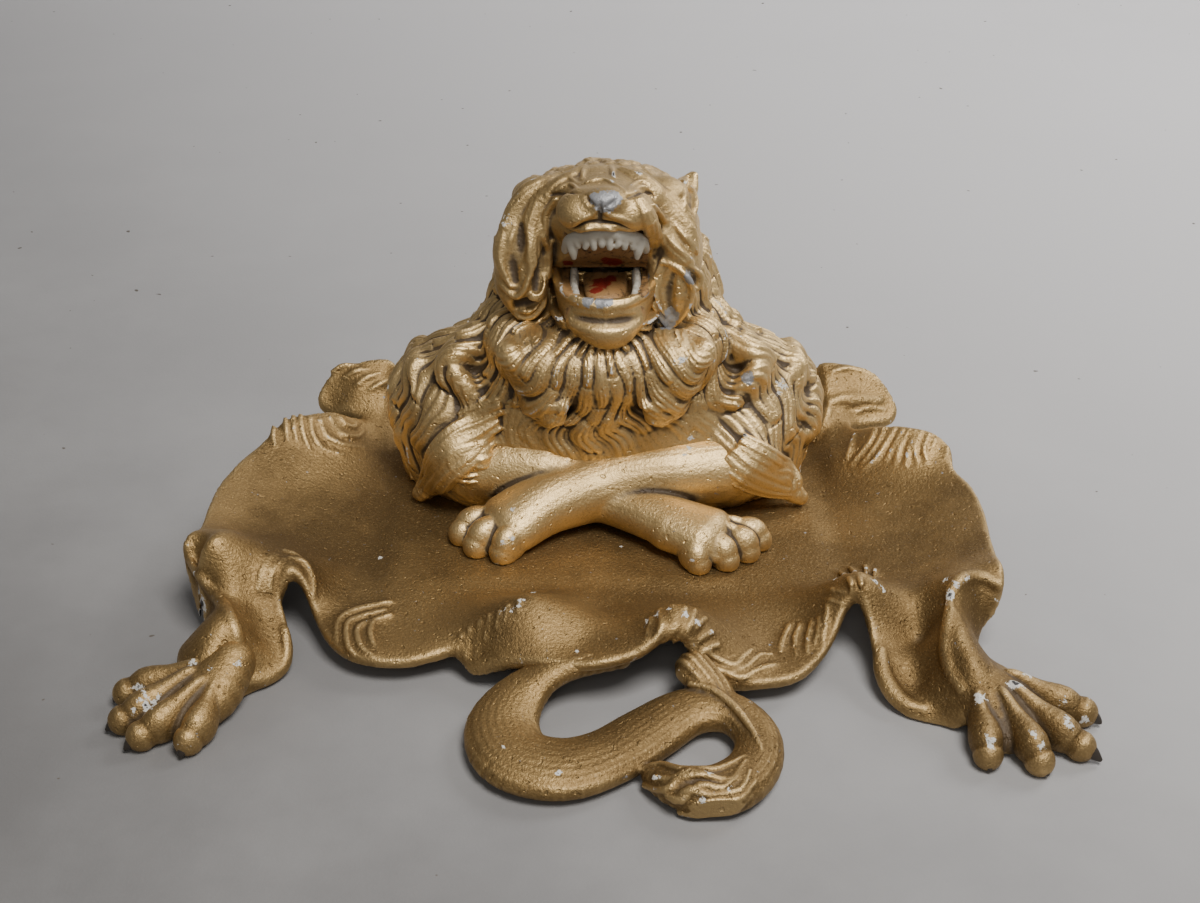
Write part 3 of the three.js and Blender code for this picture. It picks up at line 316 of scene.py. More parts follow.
def press_ball(clay, centre, radii, blend=3.0, cut=False, turn=0.0):
    """Presses an ellipsoid on the clay, or cuts it out. Turn is in degrees about Z."""
    centre, radii = np.asarray(centre, float), np.asarray(radii, float)
    reach = radii.max() + LIMB_MARGIN + blend
    slices, (x, y, z) = clay.window(centre - reach, centre + reach)
    x, y, z = x - centre[0], y - centre[1], z - centre[2]
    c, s = math.cos(math.radians(turn)), math.sin(math.radians(turn))
    x, y = c * x + s * y, c * y - s * x
    k0 = np.sqrt((x / radii[0]) ** 2 + (y / radii[1]) ** 2 + (z / radii[2]) ** 2)
    k1 = np.sqrt((x / radii[0] ** 2) ** 2 + (y / radii[1] ** 2) ** 2 + (z / radii[2] ** 2) ** 2) + 1e-6
    clay.press(slices, (k0 * (k0 - 1) / k1).astype(np.float32), blend, cut)


def press_stack(clay, rows, squareness=2.4, blend=3.0, cut=False, shrink=0.0):
    """Presses a body of level sections. Rows are height, half width, front and back in mm."""
    rows = np.asarray(rows, float)
    low = np.array([-rows[:, 1].max(), rows[:, 2].min(), rows[0, 0]]) - STACK_MARGIN
    high = np.array([rows[:, 1].max(), rows[:, 3].max(), rows[-1, 0]]) + STACK_MARGIN
    slices, (x, y, z) = clay.window(low, high)
    half, front, back = (np.interp(z, rows[:, 0], rows[:, k]) for k in (1, 2, 3))
    half = half - shrink
    deep = (back - front) / 2 - shrink
    across = np.abs(x) / half
    depth = np.abs(y - (front + back) / 2) / deep
    level = (across ** squareness + depth ** squareness) ** (1 / squareness)
    flank = (level - 1) * np.minimum(half, deep) * FLANK_SHARE
    ends = np.maximum(rows[0, 0] - z, z - rows[-1, 0])
    clay.press(slices, np.maximum(flank, ends).astype(np.float32), blend, cut)


# %% [markdown]
# The skin is taken off the clay once, when the form is finished. Two values are kept at each of
# its points for the paint: how much the point stands out, and how deep it lies in a hollow. They
# are the difference between the distance there and its average over the surroundings. The paint
# makes ridges brighter and hollows darker by them, partly as wear and grime and partly as painted
# highlight and painted shade.

# %% Skin
NEAR = 3.0
RELIEF_SIZES = {"edge": 1.3, "hollow": 3.6}


def blurred(field, radius):
    """Average over a cube of 2 radius + 1 cells, one axis after another, by running sums."""
    for axis in range(3):
        pad = [(radius + 1, radius) if k == axis else (0, 0) for k in range(3)]
        sums = np.cumsum(np.pad(field, pad, mode="edge"), axis=axis, dtype=np.float64)
        size = field.shape[axis]
        upper = np.take(sums, np.arange(2 * radius + 1, 2 * radius + 1 + size), axis=axis)
        lower = np.take(sums, np.arange(size), axis=axis)
        field = ((upper - lower) / (2 * radius + 1)).astype(np.float32)
    return field


def keep(piece, name, values):
    """Stores one number for each point of a piece, for its finish."""
    layer = piece.data.attributes.new(name, "FLOAT", "POINT")
    layer.data.foreach_set("value", np.asarray(values, np.float32))


def skin(clay, name, adaptivity=0.0):
    """The surface where the clay's distance is zero, as a closed mesh object in metres."""
    field = np.clip(clay.field, -FAR, FAR)
    for axis in range(3):
        np.moveaxis(field, axis, 0)[[0, -1]] = FAR
    grid = openvdb.FloatGrid(background=FAR)
    grid.copyFromArray(field)
    points, triangles, quads = grid.convertToPolygons(isovalue=0.0, adaptivity=adaptivity)
    points = np.clip(clay.low + points * clay.voxel, BOX_LOW, BOX_HIGH)
    faces = np.concatenate([quads[:, [0, 1, 2, 3]].ravel(), triangles.ravel()]).astype(np.int32)
    sizes = np.concatenate([np.full(len(quads), 4), np.full(len(triangles), 3)]).astype(np.int32)
    mesh = bpy.data.meshes.new(name)
    mesh.vertices.add(len(points))
    mesh.vertices.foreach_set("co", ((points + SHIFT) * MM).astype(np.float32).ravel())
    mesh.loops.add(len(faces))
    mesh.loops.foreach_set("vertex_index", faces)
    mesh.polygons.add(len(sizes))
    starts = np.concatenate([[0], np.cumsum(sizes)[:-1]]).astype(np.int32)
    mesh.polygons.foreach_set("loop_start", starts)
    mesh.update(calc_edges=True)
    mesh.polygons.foreach_set("use_smooth", np.ones(len(sizes), bool))
    mesh.validate()
    obj = bpy.data.objects.new(name, mesh)
    bpy.context.scene.collection.objects.link(obj)
    near = np.clip(field, -NEAR, NEAR)
    for label, size in RELIEF_SIZES.items():
        smooth = clay.copied()
        smooth.field = blurred(near, max(int(round(size / clay.voxel)), 1)) - near
        keep(obj, label, smooth.at(points) / size)
    print(f"{name}: {len(points)} points, {len(quads) * 2 + len(triangles)} triangles, "
          f"{time.time() - started:.0f} s")
    return obj


# %% [markdown]
# ## The hide
#
# The hide was modelled as a slack skin laid over a dish: a level floor, lips that rise all round,
# folded hems, and the skins of the forelegs running down to the table. Its surface is a thin plate
# bent through a few heights, the same ones as in the CAD model, here cut ten times finer.

# %% Heights of the hide
HIDE_SIZE = 100.0
LEVEL_HALF_SHARE, LEVEL_FRONT_SHARE, LEVEL_BACK_SHARE, LEVEL_FADE_SHARE = 0.8, -0.08, 1.02, 0.14
LEAST_TOP, STEEPEST, ROUNDING = 2.5, 2.2, 1.6
EDGE_SHARES = np.array([
    (-1.37, 0.6, 0.33), (-1.44, 0.46, 0.32), (-1.49, 0.3, 0.31), (-1.5, 0.14, 0.31), (-1.5, -0.03, 0.32),
    (-1.535, -0.11, 0.31), (-1.52, -0.15, 0.2), (-1.48, -0.22, 0.12), (-1.45, -0.29, 0.08),
    (-1.46, -0.37, 0.07), (-1.5, -0.46, 0.1), (-1.46, -0.6, 0.12), (-1.33, -0.68, 0.11), (-1.24, -0.6, 0.03),
    (-1.18, -0.55, 0.04),
    (-1.13, -0.48, 0.05), (-1.12, -0.41, 0.09), (-1.14, -0.33, 0.14), (-1.165, -0.26, 0.2),
    (-1.13, -0.225, 0.26), (-1.09, -0.235, 0.23), (-1.05, -0.29, 0.14), (-0.99, -0.4, 0.11),
    (-0.91, -0.48, 0.1), (-0.82, -0.52, 0.1),
    (-0.71, -0.53, 0.1), (-0.61, -0.51, 0.11), (-0.53, -0.49, 0.12), (-0.47, -0.54, 0.09),
    (-0.4, -0.57, 0.12),
    (-0.29, -0.6, 0.16), (-0.16, -0.64, 0.18), (-0.02, -0.66, 0.2), (0.11, -0.63, 0.22), (0.2, -0.58, 0.26),
    (0.27, -0.57, 0.25), (0.33, -0.61, 0.14), (0.4, -0.64, 0.1), (0.56, -0.64, 0.1), (0.67, -0.61, 0.11),
    (0.75, -0.53, 0.13), (0.81, -0.44, 0.17), (0.85, -0.38, 0.24), (0.89, -0.37, 0.27), (0.92, -0.41, 0.2),
    (0.93, -0.49, 0.14), (0.93, -0.57, 0.1), (0.96, -0.66, 0.07), (1.03, -0.72, 0.04), (1.13, -0.76, 0.03),
    (1.22, -0.8, 0.1), (1.36, -0.8, 0.12), (1.42, -0.68, 0.12), (1.4, -0.55, 0.09), (1.35, -0.48, 0.08),
    (1.32, -0.42, 0.11), (1.34, -0.37, 0.18), (1.39, -0.345, 0.25), (1.41, -0.3, 0.31), (1.41, -0.17, 0.31),
    (1.42, 0, 0.3), (1.43, 0.15, 0.3), (1.41, 0.3, 0.31), (1.37, 0.42, 0.31), (1.37, 0.53, 0.34),
    (1.31, 0.6, 0.37), (1.2, 0.65, 0.37), (1.1, 0.7, 0.34), (1.03, 0.82, 0.26), (1.06, 0.88, 0.24),
    (1.2, 0.91, 0.25), (1.23, 0.97, 0.3), (1.15, 1.04, 0.4), (1.0, 1.08, 0.43), (0.88, 1.1, 0.41),
    (0.76, 1.13, 0.25), (0.55, 1.14, 0.04), (0.2, 1.15, 0.03), (-0.2, 1.15, 0.03), (-0.55, 1.14, 0.04),
    (-0.76, 1.13, 0.25), (-0.9, 1.12, 0.42), (-1.03, 1.1, 0.43), (-1.17, 1.07, 0.38), (-1.22, 1.02, 0.3),
    (-1.16, 0.98, 0.25), (-1.04, 0.93, 0.25), (-1.04, 0.86, 0.29), (-1.12, 0.8, 0.35), (-1.22, 0.74, 0.37),
    (-1.31, 0.69, 0.36),
])
INNER_SHARES = np.array([
    (-1.0, 0, 0.15), (-1.02, 0.3, 0.16), (-0.98, 0.6, 0.18), (-1.2, 0.1, 0.2), (-1.24, 0.4, 0.22),
    (-1.12, 0.64, 0.27), (-1.35, 0.05, 0.25), (-1.36, 0.28, 0.26), (-1.0, 0.82, 0.24), (-0.92, 0.98, 0.3),
    (-1.05, 1.0, 0.34), (1.0, 0.02, 0.16), (1.02, 0.3, 0.17), (0.98, 0.56, 0.2), (1.2, 0.1, 0.21),
    (1.22, 0.36, 0.24), (1.12, 0.56, 0.28), (1.32, 0.2, 0.27), (1.3, -0.1, 0.26), (0.96, 0.78, 0.24),
    (0.92, 0.92, 0.3), (1.05, 0.97, 0.34),
    (-1.46, -0.23, 0.28), (-1.34, -0.39, 0.24), (-1.27, -0.52, 0.21), (-1.34, -0.6, 0.17),
    (-1.27, -0.3, 0.2),
    (-1.22, -0.43, 0.13), (-1.17, -0.14, 0.28), (-1.17, -0.48, 0.08),
    (1.24, -0.36, 0.31), (1.19, -0.47, 0.28), (1.17, -0.59, 0.24), (1.22, -0.7, 0.21), (1.32, -0.62, 0.16),
    (1.12, -0.43, 0.13), (1.09, -0.6, 0.08), (1.02, -0.52, 0.11), (0.9, -0.29, 0.31), (1.05, -0.36, 0.19),
    (0.95, -0.16, 0.18), (1.15, -0.2, 0.22), (-1.0, -0.18, 0.16), (-0.94, -0.34, 0.12), (-0.75, -0.4, 0.11),
    (-0.27, -0.37, 0.27), (-0.4, -0.45, 0.21), (-0.08, -0.44, 0.22), (-0.1, -0.56, 0.19),
    (-0.6, -0.32, 0.13),
    (0.25, -0.48, 0.3), (0.13, -0.52, 0.24), (0.37, -0.53, 0.21), (0.55, -0.48, 0.12), (0.7, -0.36, 0.14),
    (-0.3, -0.24, 0.17), (0, -0.3, 0.16), (0.3, -0.32, 0.18), (0.6, -0.2, 0.14), (-0.75, -0.15, 0.14),
    (0.85, -0.1, 0.15), (0, -0.15, 0.14),
])


def plate_kernel(squared):
    """r^2 log r^2, and 0 where r is 0."""
    return squared * np.log(np.maximum(squared, 1e-12))


def bent_plate(points):
    """Weights of a plane and of one kernel per point, so that the sum passes through all heights."""
    places, heights = points[:, :2], points[:, 2]
    count = len(points)
    kernel = plate_kernel(((places[:, None] - places[None]) ** 2).sum(axis=2))
    border = np.column_stack([np.ones(count), places])
    system = np.block([[kernel, border], [border.T, np.zeros((3, 3))]])
    return np.linalg.solve(system, np.concatenate([heights, np.zeros(3)]))


plate_points = np.concatenate([EDGE_SHARES, INNER_SHARES])
plate_weights = bent_plate(plate_points)


def hide_top(x, y):
    """Height of the hide over a place of the table, all in millimetres."""
    u, v = x / HIDE_SIZE, y / HIDE_SIZE
    bent = plate_weights[-3] + plate_weights[-2] * u + plate_weights[-1] * v
    for weight, (px, py, _) in zip(plate_weights, plate_points):
        bent = bent + weight * plate_kernel((u - px) ** 2 + (v - py) ** 2)
    sideways = np.maximum(np.abs(u) - LEVEL_HALF_SHARE, 0)
    lengthways = np.maximum(np.maximum(LEVEL_FRONT_SHARE - v, v - LEVEL_BACK_SHARE), 0)
    out = np.minimum(np.hypot(sideways, lengthways) / LEVEL_FADE_SHARE, 1)
    level = 1 - out * out * (3 - 2 * out)
    return np.maximum(level * SEAT_HEIGHT + (1 - level) * bent * HIDE_SIZE, LEAST_TOP)


def closed_curve(rows, per_row):
    """The same curve as above, closed, with so many points for each row."""
    rows = np.asarray(rows, float)
    padded = np.concatenate([rows[-1:], rows, rows[:2]])
    whole = curve(padded, (len(padded) - 1) * per_row + 1)
    return whole[per_row:-per_row][:-1]


def outline_distance(x, y, outline):
    """Distance to a closed outline, negative inside, from its nearest side and its crossings."""
    x, y = np.broadcast_arrays(x, y)
    nearest = np.full(x.shape, 1e9, np.float32)
    inside = np.zeros(x.shape, bool)
    for (ax, ay), (bx, by) in zip(outline, np.roll(outline, -1, axis=0)):
        dx, dy = bx - ax, by - ay
        t = np.clip(((x - ax) * dx + (y - ay) * dy) / (dx * dx + dy * dy), 0, 1)
        nearest = np.minimum(nearest, (x - ax - t * dx) ** 2 + (y - ay - t * dy) ** 2)
        crosses = (ay > y) != (by > y)
        inside ^= crosses & (x < ax + (y - ay) * dx / (dy if abs(dy) > 1e-9 else 1e-9))
    return np.where(inside, -1, 1) * np.sqrt(nearest)


outline = closed_curve(EDGE_SHARES * HIDE_SIZE, 4)

# %% [markdown]
# ### The hide's clay
#
# The hide is as thick as cast iron is poured, also where it stands steep, and its rim is rounded.

# %% Hide forms
hide = Clay([-171, -121, -2], [171, 121, 48], 1.0)
columns, rows, levels = (low + hide.voxel * np.arange(count) for low, count in zip(hide.low, hide.count))
hide_x, hide_y = np.meshgrid(columns, rows, indexing="ij")
top = hide_top(hide_x, hide_y)
steep = np.minimum(np.hypot(1, np.hypot(*np.gradient(top, hide.voxel))), STEEPEST)
under = np.maximum(top - HIDE_THICKNESS * steep, 0)
middle, half = ((top + under) / 2)[..., None], ((top - under) / 2)[..., None]
sheet = (np.abs(levels - middle) - half) / steep[..., None]
edge = outline_distance(hide_x, hide_y, outline[:, :2])[..., None]
a, b = sheet + ROUNDING, edge + ROUNDING
slab = np.minimum(np.maximum(a, b), 0) + np.hypot(np.maximum(a, 0), np.maximum(b, 0)) - ROUNDING
hide.field = np.clip(slab, -FAR, FAR).astype(np.float32)

# %% [markdown]
# ## Locks of fur
#
# A lock is a ridge that is thick in its middle and runs out in a point. Where the photograph shows
# one, its middle line is a row of pixels: the line is laid on the form under it, seen from the
# photograph's camera, and pressed on along the form's own normals. Thinner ridges beside it fill
# the space to the next lock.

# %% Tracing and pressing locks
TRACE_DRIFT, TRACE_LOST = 1.0, 0.8 * FAR
FULLEST_AT = 0.45
BESIDE_SHARE, THINNER_SHARE = 1.25, 0.18
GROWTH_SPREAD, GROWTH_PITCH, FULL_TURN = (0.8, 1.2), 14.0, 6.28


def pixel_lines(text):
    """Lines of pixels, one line of the text each: u,v u,v u,v"""
    return [np.array([pair.split(",") for pair in row.split()], float)
            for row in text.strip().splitlines()]


def traced(form, lines):
    """Each line of pixels as points on a form and its normals there, without jumps in depth."""
    found = form.seen_at(np.concatenate(lines))
    result = []
    for line, points in zip(lines, np.split(found, np.cumsum([len(line) for line in lines])[:-1])):
        reach = np.linalg.norm(points - EYE, axis=1)
        padded = np.pad(reach, 1, mode="edge")
        steady = np.median([padded[:-2], reach, padded[2:]], axis=0)
        points = EYE + (points - EYE) * (steady / reach)[:, None]
        distance = form.at(points)
        settled = form.settle(points, lift=TRACE_DRIFT)
        points = np.where((distance > TRACE_DRIFT)[:, None], settled, points)[distance < TRACE_LOST]
        if len(points) > 1:
            result.append((points, form.normal_at(points)))
    return result


def lock_profile(count, root=0.75, tip=0.3):
    """Width along a lock: from the root's share over 1 in the middle to the tip's share."""
    t = np.linspace(0, 1, count)
    return np.where(t < FULLEST_AT, root + (1 - root) * np.sin(t / FULLEST_AT * np.pi / 2),
                    tip + (1 - tip) * np.cos((t - FULLEST_AT) / (1 - FULLEST_AT) * np.pi / 2))


def press_lock(clay, points, normals, width, height, lift=0.3, root=0.75, tip=0.3, blend=0.7,
               **pattern):
    """One lock along points on a form. Lift is how far its middle lies over the form, in heights."""
    profile = lock_profile(len(points), root, tip)
    centres = points + normals * (lift * height * profile)[:, None]
    rows = np.column_stack([centres, width * profile, height * profile])
    press_limb(clay, rows, over=normals, steps=(len(rows) - 1) * 3 + 1, blend=blend, **pattern)


def press_traced(clay, form, text, width, height, beside=0, **options):
    """All the locks of a text, with so many thinner ones on either side of each."""
    for k, (points, normals) in enumerate(traced(form, pixel_lines(text))):
        along = np.gradient(points, axis=0)
        across = unit_rows(np.cross(along, normals))
        for n in range(-beside, beside + 1):
            share = 1 - THINNER_SHARE * abs(n)
            moved = points + across * (n * BESIDE_SHARE * width)
            if n:
                most = 2 * abs(n) * width
                moved = points + np.clip(form.settle(moved, rounds=3) - points, -most, most)
            press_lock(clay, moved, normals, width * share, height * share, phase=k + 2.1 * n,
                       **options)


def grown(form, starts, inward, heading, length, wave, seed, steps=9):
    """Paths over a form, from where points moved inward meet it, along a heading that swings."""
    rng = np.random.default_rng(seed)
    points = form.settle(form.met_by(starts, inward))
    phase = rng.uniform(0, FULL_TURN, len(points))
    length = length * rng.uniform(*GROWTH_SPREAD, len(points))
    path, over = [points], [form.normal_at(points)]
    for k in range(1, steps):
        normals = over[-1]
        ahead = np.broadcast_to(heading, points.shape)
        ahead = unit_rows(ahead - (ahead * normals).sum(axis=1, keepdims=True) * normals)
        swing = wave * np.sin(phase + k * (length / steps) / GROWTH_PITCH * FULL_TURN)
        ahead = unit_rows(ahead + swing[:, None] * np.cross(normals, ahead))
        points = form.settle(points + ahead * (length / steps)[:, None], rounds=3)
        path.append(points)
        over.append(form.normal_at(points))
    return np.stack(path, axis=1), np.stack(over, axis=1)


# %% [markdown]
# ### Fur on the hide's edges
#
# The hide is smooth leather except at its folded hems, where the fur shows.

# %% Fur of the hide
HEM_LOCKS = """
272,425 273,434 275,445
285,418 286,428 288,440
293,416 294,428 297,442
300,415 301,425 304,437 310,450
310,417 312,433 318,444 325,450 345,455
320,420 325,435 334,441 345,445 365,448
330,418 336,430 346,436 358,436 364,430
340,418 346,425 354,427 358,422
332,372 342,366 355,364
345,378 356,371 368,369
358,384 368,377 380,374
370,390 382,383 392,380
258,590 262,570 272,555
264,592 267,570 278,555
270,592 272,572 285,558
290,558 305,563 313,580 314,595
284,551 296,556 306,566 312,578
392,602 370,606 350,612 338,622 337,640
385,610 360,617 347,625 348,645 355,655
375,620 358,628 360,645 372,655
390,615 374,622 370,634 376,648
462,635 458,655
470,628 466,658
480,622 476,658
490,615 485,640
500,612 497,628
508,606 505,620
520,600 518,612
652,618 646,640
660,610 662,625 655,640
672,606 675,625 665,642
685,608 682,630 672,645
695,610 690,625 682,640
705,618 695,628 685,645
712,632 698,640 690,652
718,645 705,650 697,660
705,650 720,660 735,665 745,655 755,648
700,662 725,672 745,668 760,655 775,655
718,668 740,678 762,668 780,664
790,625 783,640 780,655
800,625 795,640 797,655
812,622 808,640 808,655
820,618 818,635 812,648
828,605 826,625 822,645
840,573 850,580 852,592
850,568 860,580 862,592
865,566 868,590
875,570 873,590
832,590 845,592
830,600 842,603
855,435 850,450 845,462
875,430 868,445 850,465
885,428 876,446 860,466
895,428 885,445 875,460 862,470
903,429 894,447 884,462
910,430 900,448 895,465
916,431 909,449 906,466
922,432 915,448 918,465
929,435 924,450 928,464
935,440 930,455
948,448 945,460
850,404 862,401 876,403
856,412 870,408 886,410
832,372 846,368 860,370
"""
HEM_RIDGES = """
187,545 190,560 200,577 215,595 228,612 236,628 239,645 240,660
285,630 288,650 283,668 265,680 245,681
950,590 960,580 970,576 985,577 1000,585
950,595 948,615 945,640 945,655 950,672 962,690
881,650 885,672 895,690 910,703 925,709
830,402 850,398 880,400
828,410 822,425 815,440
"""
bare_hide = hide.copied()
press_traced(hide, bare_hide, HEM_LOCKS, 1.25, 1.15, lift=0.15, tip=0.45)
press_traced(hide, bare_hide, HEM_RIDGES, 2.2, 1.5, lift=0.1, blend=2.0, tip=0.6, root=0.6)
hide.cut_below()
hide_mesh = skin(hide, "hide_skin", adaptivity=0.01)

# %% [markdown]
# ### The tail
#
# The tail leaves the hide's front hem, lies on the table in an S and ends in a curled tuft. It
# was modelled as one flat bundle of long strands.

# %% Tail
TAIL_SHARES = np.array([
    (0.05, -0.6, 0.17, 0.03, 0.04), (-0.14, -0.62, 0.14, 0.05, 0.045), (-0.27, -0.67, 0.09, 0.09, 0.055),
    (-0.345, -0.81, 0.055, 0.125, 0.06), (-0.3, -0.965, 0.05, 0.135, 0.06),
    (-0.15, -1.02, 0.05, 0.135, 0.06),
    (0, -0.965, 0.05, 0.12, 0.06), (0.14, -0.855, 0.055, 0.115, 0.06), (0.28, -0.755, 0.065, 0.1, 0.06),
    (0.42, -0.77, 0.07, 0.08, 0.06), (0.5, -0.88, 0.06, 0.08, 0.06), (0.475, -1.02, 0.055, 0.09, 0.06),
    (0.37, -1.12, 0.055, 0.1, 0.065), (0.24, -1.11, 0.055, 0.08, 0.06), (0.15, -1.05, 0.04, 0.035, 0.04)])
TAIL_LOCK_SHARES = np.array([
    (0.3, -0.6, 0.13, 0.07, 0.06), (0.36, -0.68, 0.1, 0.07, 0.05), (0.38, -0.74, 0.08, 0.07, 0.05)])
tail = Clay([-54, -122, -2], [62, -52, 24], 0.6)
press_limb(tail, TAIL_SHARES * HIDE_SIZE, blend=1.0, strands=10, groove=0.22)
press_limb(tail, TAIL_LOCK_SHARES * HIDE_SIZE, blend=1.0, strands=5, groove=0.5)
tail_form = tail.copied()
TUFT_LOCKS = """
640,770 660,765 680,770 705,770 720,768 745,755
645,785 665,790 680,780 700,775 730,780 745,760
675,800 690,790 710,795 740,790 750,770
680,812 710,815 735,808 752,795
655,778 672,780 690,772 712,776
668,796 682,800 700,786 722,788 738,776
700,805 722,804 742,797 756,780
690,684 712,690 735,708 752,730 762,750
"""
press_traced(tail, tail_form, TUFT_LOCKS, 1.5, 1.3, lift=0.2, tip=0.3)
tail.cut_below()
tail_mesh = skin(tail, "tail_skin")

# %% [markdown]
# ### Paws of the hide
#
# Each toe is a tendon, a knuckle and an end pad, and the claws are pieces of their own, because
# their paint has gone.

# %% Paws of the hide
FRONT_PAW_SHARES = {
    "left": {
        "palm": [(-1.29, -0.56, 0.12, 0.085, 0.09), (-1.36, -0.66, 0.07, 0.13, 0.1),
                 (-1.45, -0.74, 0.05, 0.13, 0.07)],
        "toes": [
            [(-1.4, -0.6, 0.1), (-1.57, -0.61, 0.06), (-1.64, -0.63, 0.045), (-1.69, -0.64, 0.02)],
            [(-1.42, -0.65, 0.1), (-1.56, -0.74, 0.065), (-1.62, -0.77, 0.045), (-1.675, -0.79, 0.02)],
            [(-1.37, -0.7, 0.1), (-1.48, -0.81, 0.065), (-1.54, -0.85, 0.045), (-1.59, -0.885, 0.02)],
            [(-1.32, -0.68, 0.09), (-1.355, -0.82, 0.06), (-1.38, -0.87, 0.045), (-1.4, -0.92, 0.02)],
        ],
    },
    "right": {
        "palm": [(1.22, -0.62, 0.13, 0.085, 0.09), (1.3, -0.72, 0.08, 0.13, 0.11),
                 (1.38, -0.82, 0.05, 0.14, 0.08)],
        "toes": [
            [(1.38, -0.66, 0.1), (1.54, -0.71, 0.06), (1.61, -0.73, 0.045), (1.67, -0.755, 0.02)],
            [(1.37, -0.74, 0.11), (1.5, -0.86, 0.07), (1.56, -0.9, 0.045), (1.62, -0.94, 0.02)],
            [(1.32, -0.77, 0.11), (1.39, -0.92, 0.07), (1.41, -0.97, 0.045), (1.43, -1.01, 0.02)],
            [(1.24, -0.76, 0.1), (1.25, -0.89, 0.065), (1.25, -0.94, 0.045), (1.25, -0.985, 0.02)],
        ],
    },
}
FRONT_PAW_BOXES = {"left": ((-170, -95, -2), (-112, -40, 30)), "right": ((108, -104, -2), (170, -42, 36))}
HIDE_TOE_SHARE = 0.053
PALM_FULLNESS = (1, 1, 1, 0.95, 0.9)
TOE_FULLNESS = [(0.6, 1.3), (0.75, 1.2), (1.05, 1.35), (0.85, 0.85), (0.95, 1.05)]
CLAW_FULLNESS = [(0.6, 0.62), (0.48, 0.5), (0.16, 0.18)]
CLAW_BEND_SHARE = 0.12


def press_paw(clay, shares, size, toe_share):
    """A palm, and for each toe a tendon, a knuckle, a dip and an end pad. Returns the claws."""
    press_limb(clay, np.array(shares["palm"]) * size * PALM_FULLNESS, blend=2.5)
    width, claws = toe_share * size, []
    for base, knuckle, root, tip in np.array(shares["toes"]) * size:
        places = [base, (base + knuckle) / 2, knuckle, (knuckle + root) / 2, root]
        press_limb(clay, np.column_stack([places, width * np.array(TOE_FULLNESS)]), blend=0.45)
        claws.append((root, tip, width))
    return claws


paw_meshes, claws = [], []
for side, box in FRONT_PAW_BOXES.items():
    paw = Clay(*box, 0.6)
    claws += press_paw(paw, FRONT_PAW_SHARES[side], HIDE_SIZE, HIDE_TOE_SHARE)
    paw.cut_below()
    paw_meshes.append(skin(paw, f"{side}_hide_paw"))


def claw_skin(claws, name, low, high):
    """Short cones from the toes' ends, bent down at the tip."""
    clay = Clay(low, high, 0.45)
    for root, tip, width in claws:
        places = [root, (root + tip) / 2 + (0, 0, CLAW_BEND_SHARE * width), tip]
        press_limb(clay, np.column_stack([places, width * np.array(CLAW_FULLNESS)]), blend=0.3)
    clay.cut_below()
    return skin(clay, name)


hide_claws_mesh = claw_skin(claws, "hide_claws", (-172, -106, -2), (172, -52, 14))

# %% [markdown]
# ## The lion's bust
#
# Torso, shoulders, ruff, chest and lower jaw were one hollow casting. First the round masses go
# on, then the level deck for the lid, the room for the ink pot, the hinge's knuckles and the
# bosses for the screws. The locks of the mane come later, each group as a fine skin of its own.

# %% Proportions of the lion
LION_SIZE = 100.0
BUST_WALL = 8.0
TORSO_SHARES = [
    [0.06, 0.71, 0.34, 0.99], [0.25, 0.73, 0.33, 1.0], [0.45, 0.68, 0.32, 1.0], [0.62, 0.58, 0.34, 1.0],
    [0.78, 0.45, 0.42, 1.0], [0.92, 0.37, 0.52, 1.0], [1.04, 0.35, 0.56, 1.0], [1.3, 0.35, 0.56, 1.0],
]
HOLLOW_SHARES = [
    [0.06, 0.71, 0.38, 0.99], [0.25, 0.7, 0.38, 0.99], [0.45, 0.62, 0.38, 0.99], [0.62, 0.51, 0.4, 0.99],
    [0.78, 0.41, 0.46, 0.99], [1.02, 0.35, 0.5, 0.985], [1.04, 0.35, 0.5, 0.985],
]
THROAT_SHARES = [
    [0.84, 0.14, 0.36, 0.66], [0.9, 0.17, 0.31, 0.68], [0.98, 0.195, 0.285, 0.7], [1.06, 0.195, 0.28, 0.7],
    [1.3, 0.19, 0.28, 0.7],
]
BUST_MASS_SHARES = [
    [[-0.55, 0.7, 0.36], [0.28, 0.27, 0.4]],
    [[0.54, 0.7, 0.36], [0.28, 0.27, 0.4]],
    [[0, 0.56, 0.46], [0.5, 0.23, 0.34]],
    [[0.02, 0.42, 0.52], [0.2, 0.1, 0.22]],
    [[-0.23, 0.33, 0.8], [0.12, 0.11, 0.12]],
    [[0.25, 0.33, 0.8], [0.11, 0.11, 0.13]],
    [[0, 0.31, 0.78], [0.14, 0.09, 0.12]],
]
RUFF_SHARES = [
    [-0.36, 0.52, 0.82, 0.09, 0.1], [-0.25, 0.38, 0.8, 0.11, 0.12], [0, 0.34, 0.77, 0.1, 0.13],
    [0.25, 0.38, 0.8, 0.11, 0.12], [0.36, 0.52, 0.8, 0.09, 0.1],
]
UPPER_ARM_SHARES = [
    [[-0.58, 0.6, 0.46, 0.2, 0.2], [-0.54, 0.46, 0.32, 0.15, 0.16], [-0.46, 0.46, 0.26, 0.12, 0.12]],
    [[0.56, 0.6, 0.46, 0.2, 0.2], [0.52, 0.46, 0.34, 0.16, 0.17], [0.44, 0.44, 0.29, 0.13, 0.14]],
]
FOREARM_SHARES = [
    [
        [0.44, 0.43, 0.28, 0.125, 0.125], [0.22, 0.4, 0.28, 0.13, 0.13], [0, 0.35, 0.26, 0.12, 0.12],
        [-0.22, 0.25, 0.25, 0.115, 0.105], [-0.36, 0.16, 0.22, 0.125, 0.09],
    ],
    [
        [-0.46, 0.46, 0.26, 0.12, 0.12], [-0.24, 0.43, 0.28, 0.13, 0.13], [0.04, 0.31, 0.22, 0.1, 0.09],
        [0.22, 0.18, 0.22, 0.1, 0.08], [0.38, 0.08, 0.22, 0.12, 0.08],
    ],
]
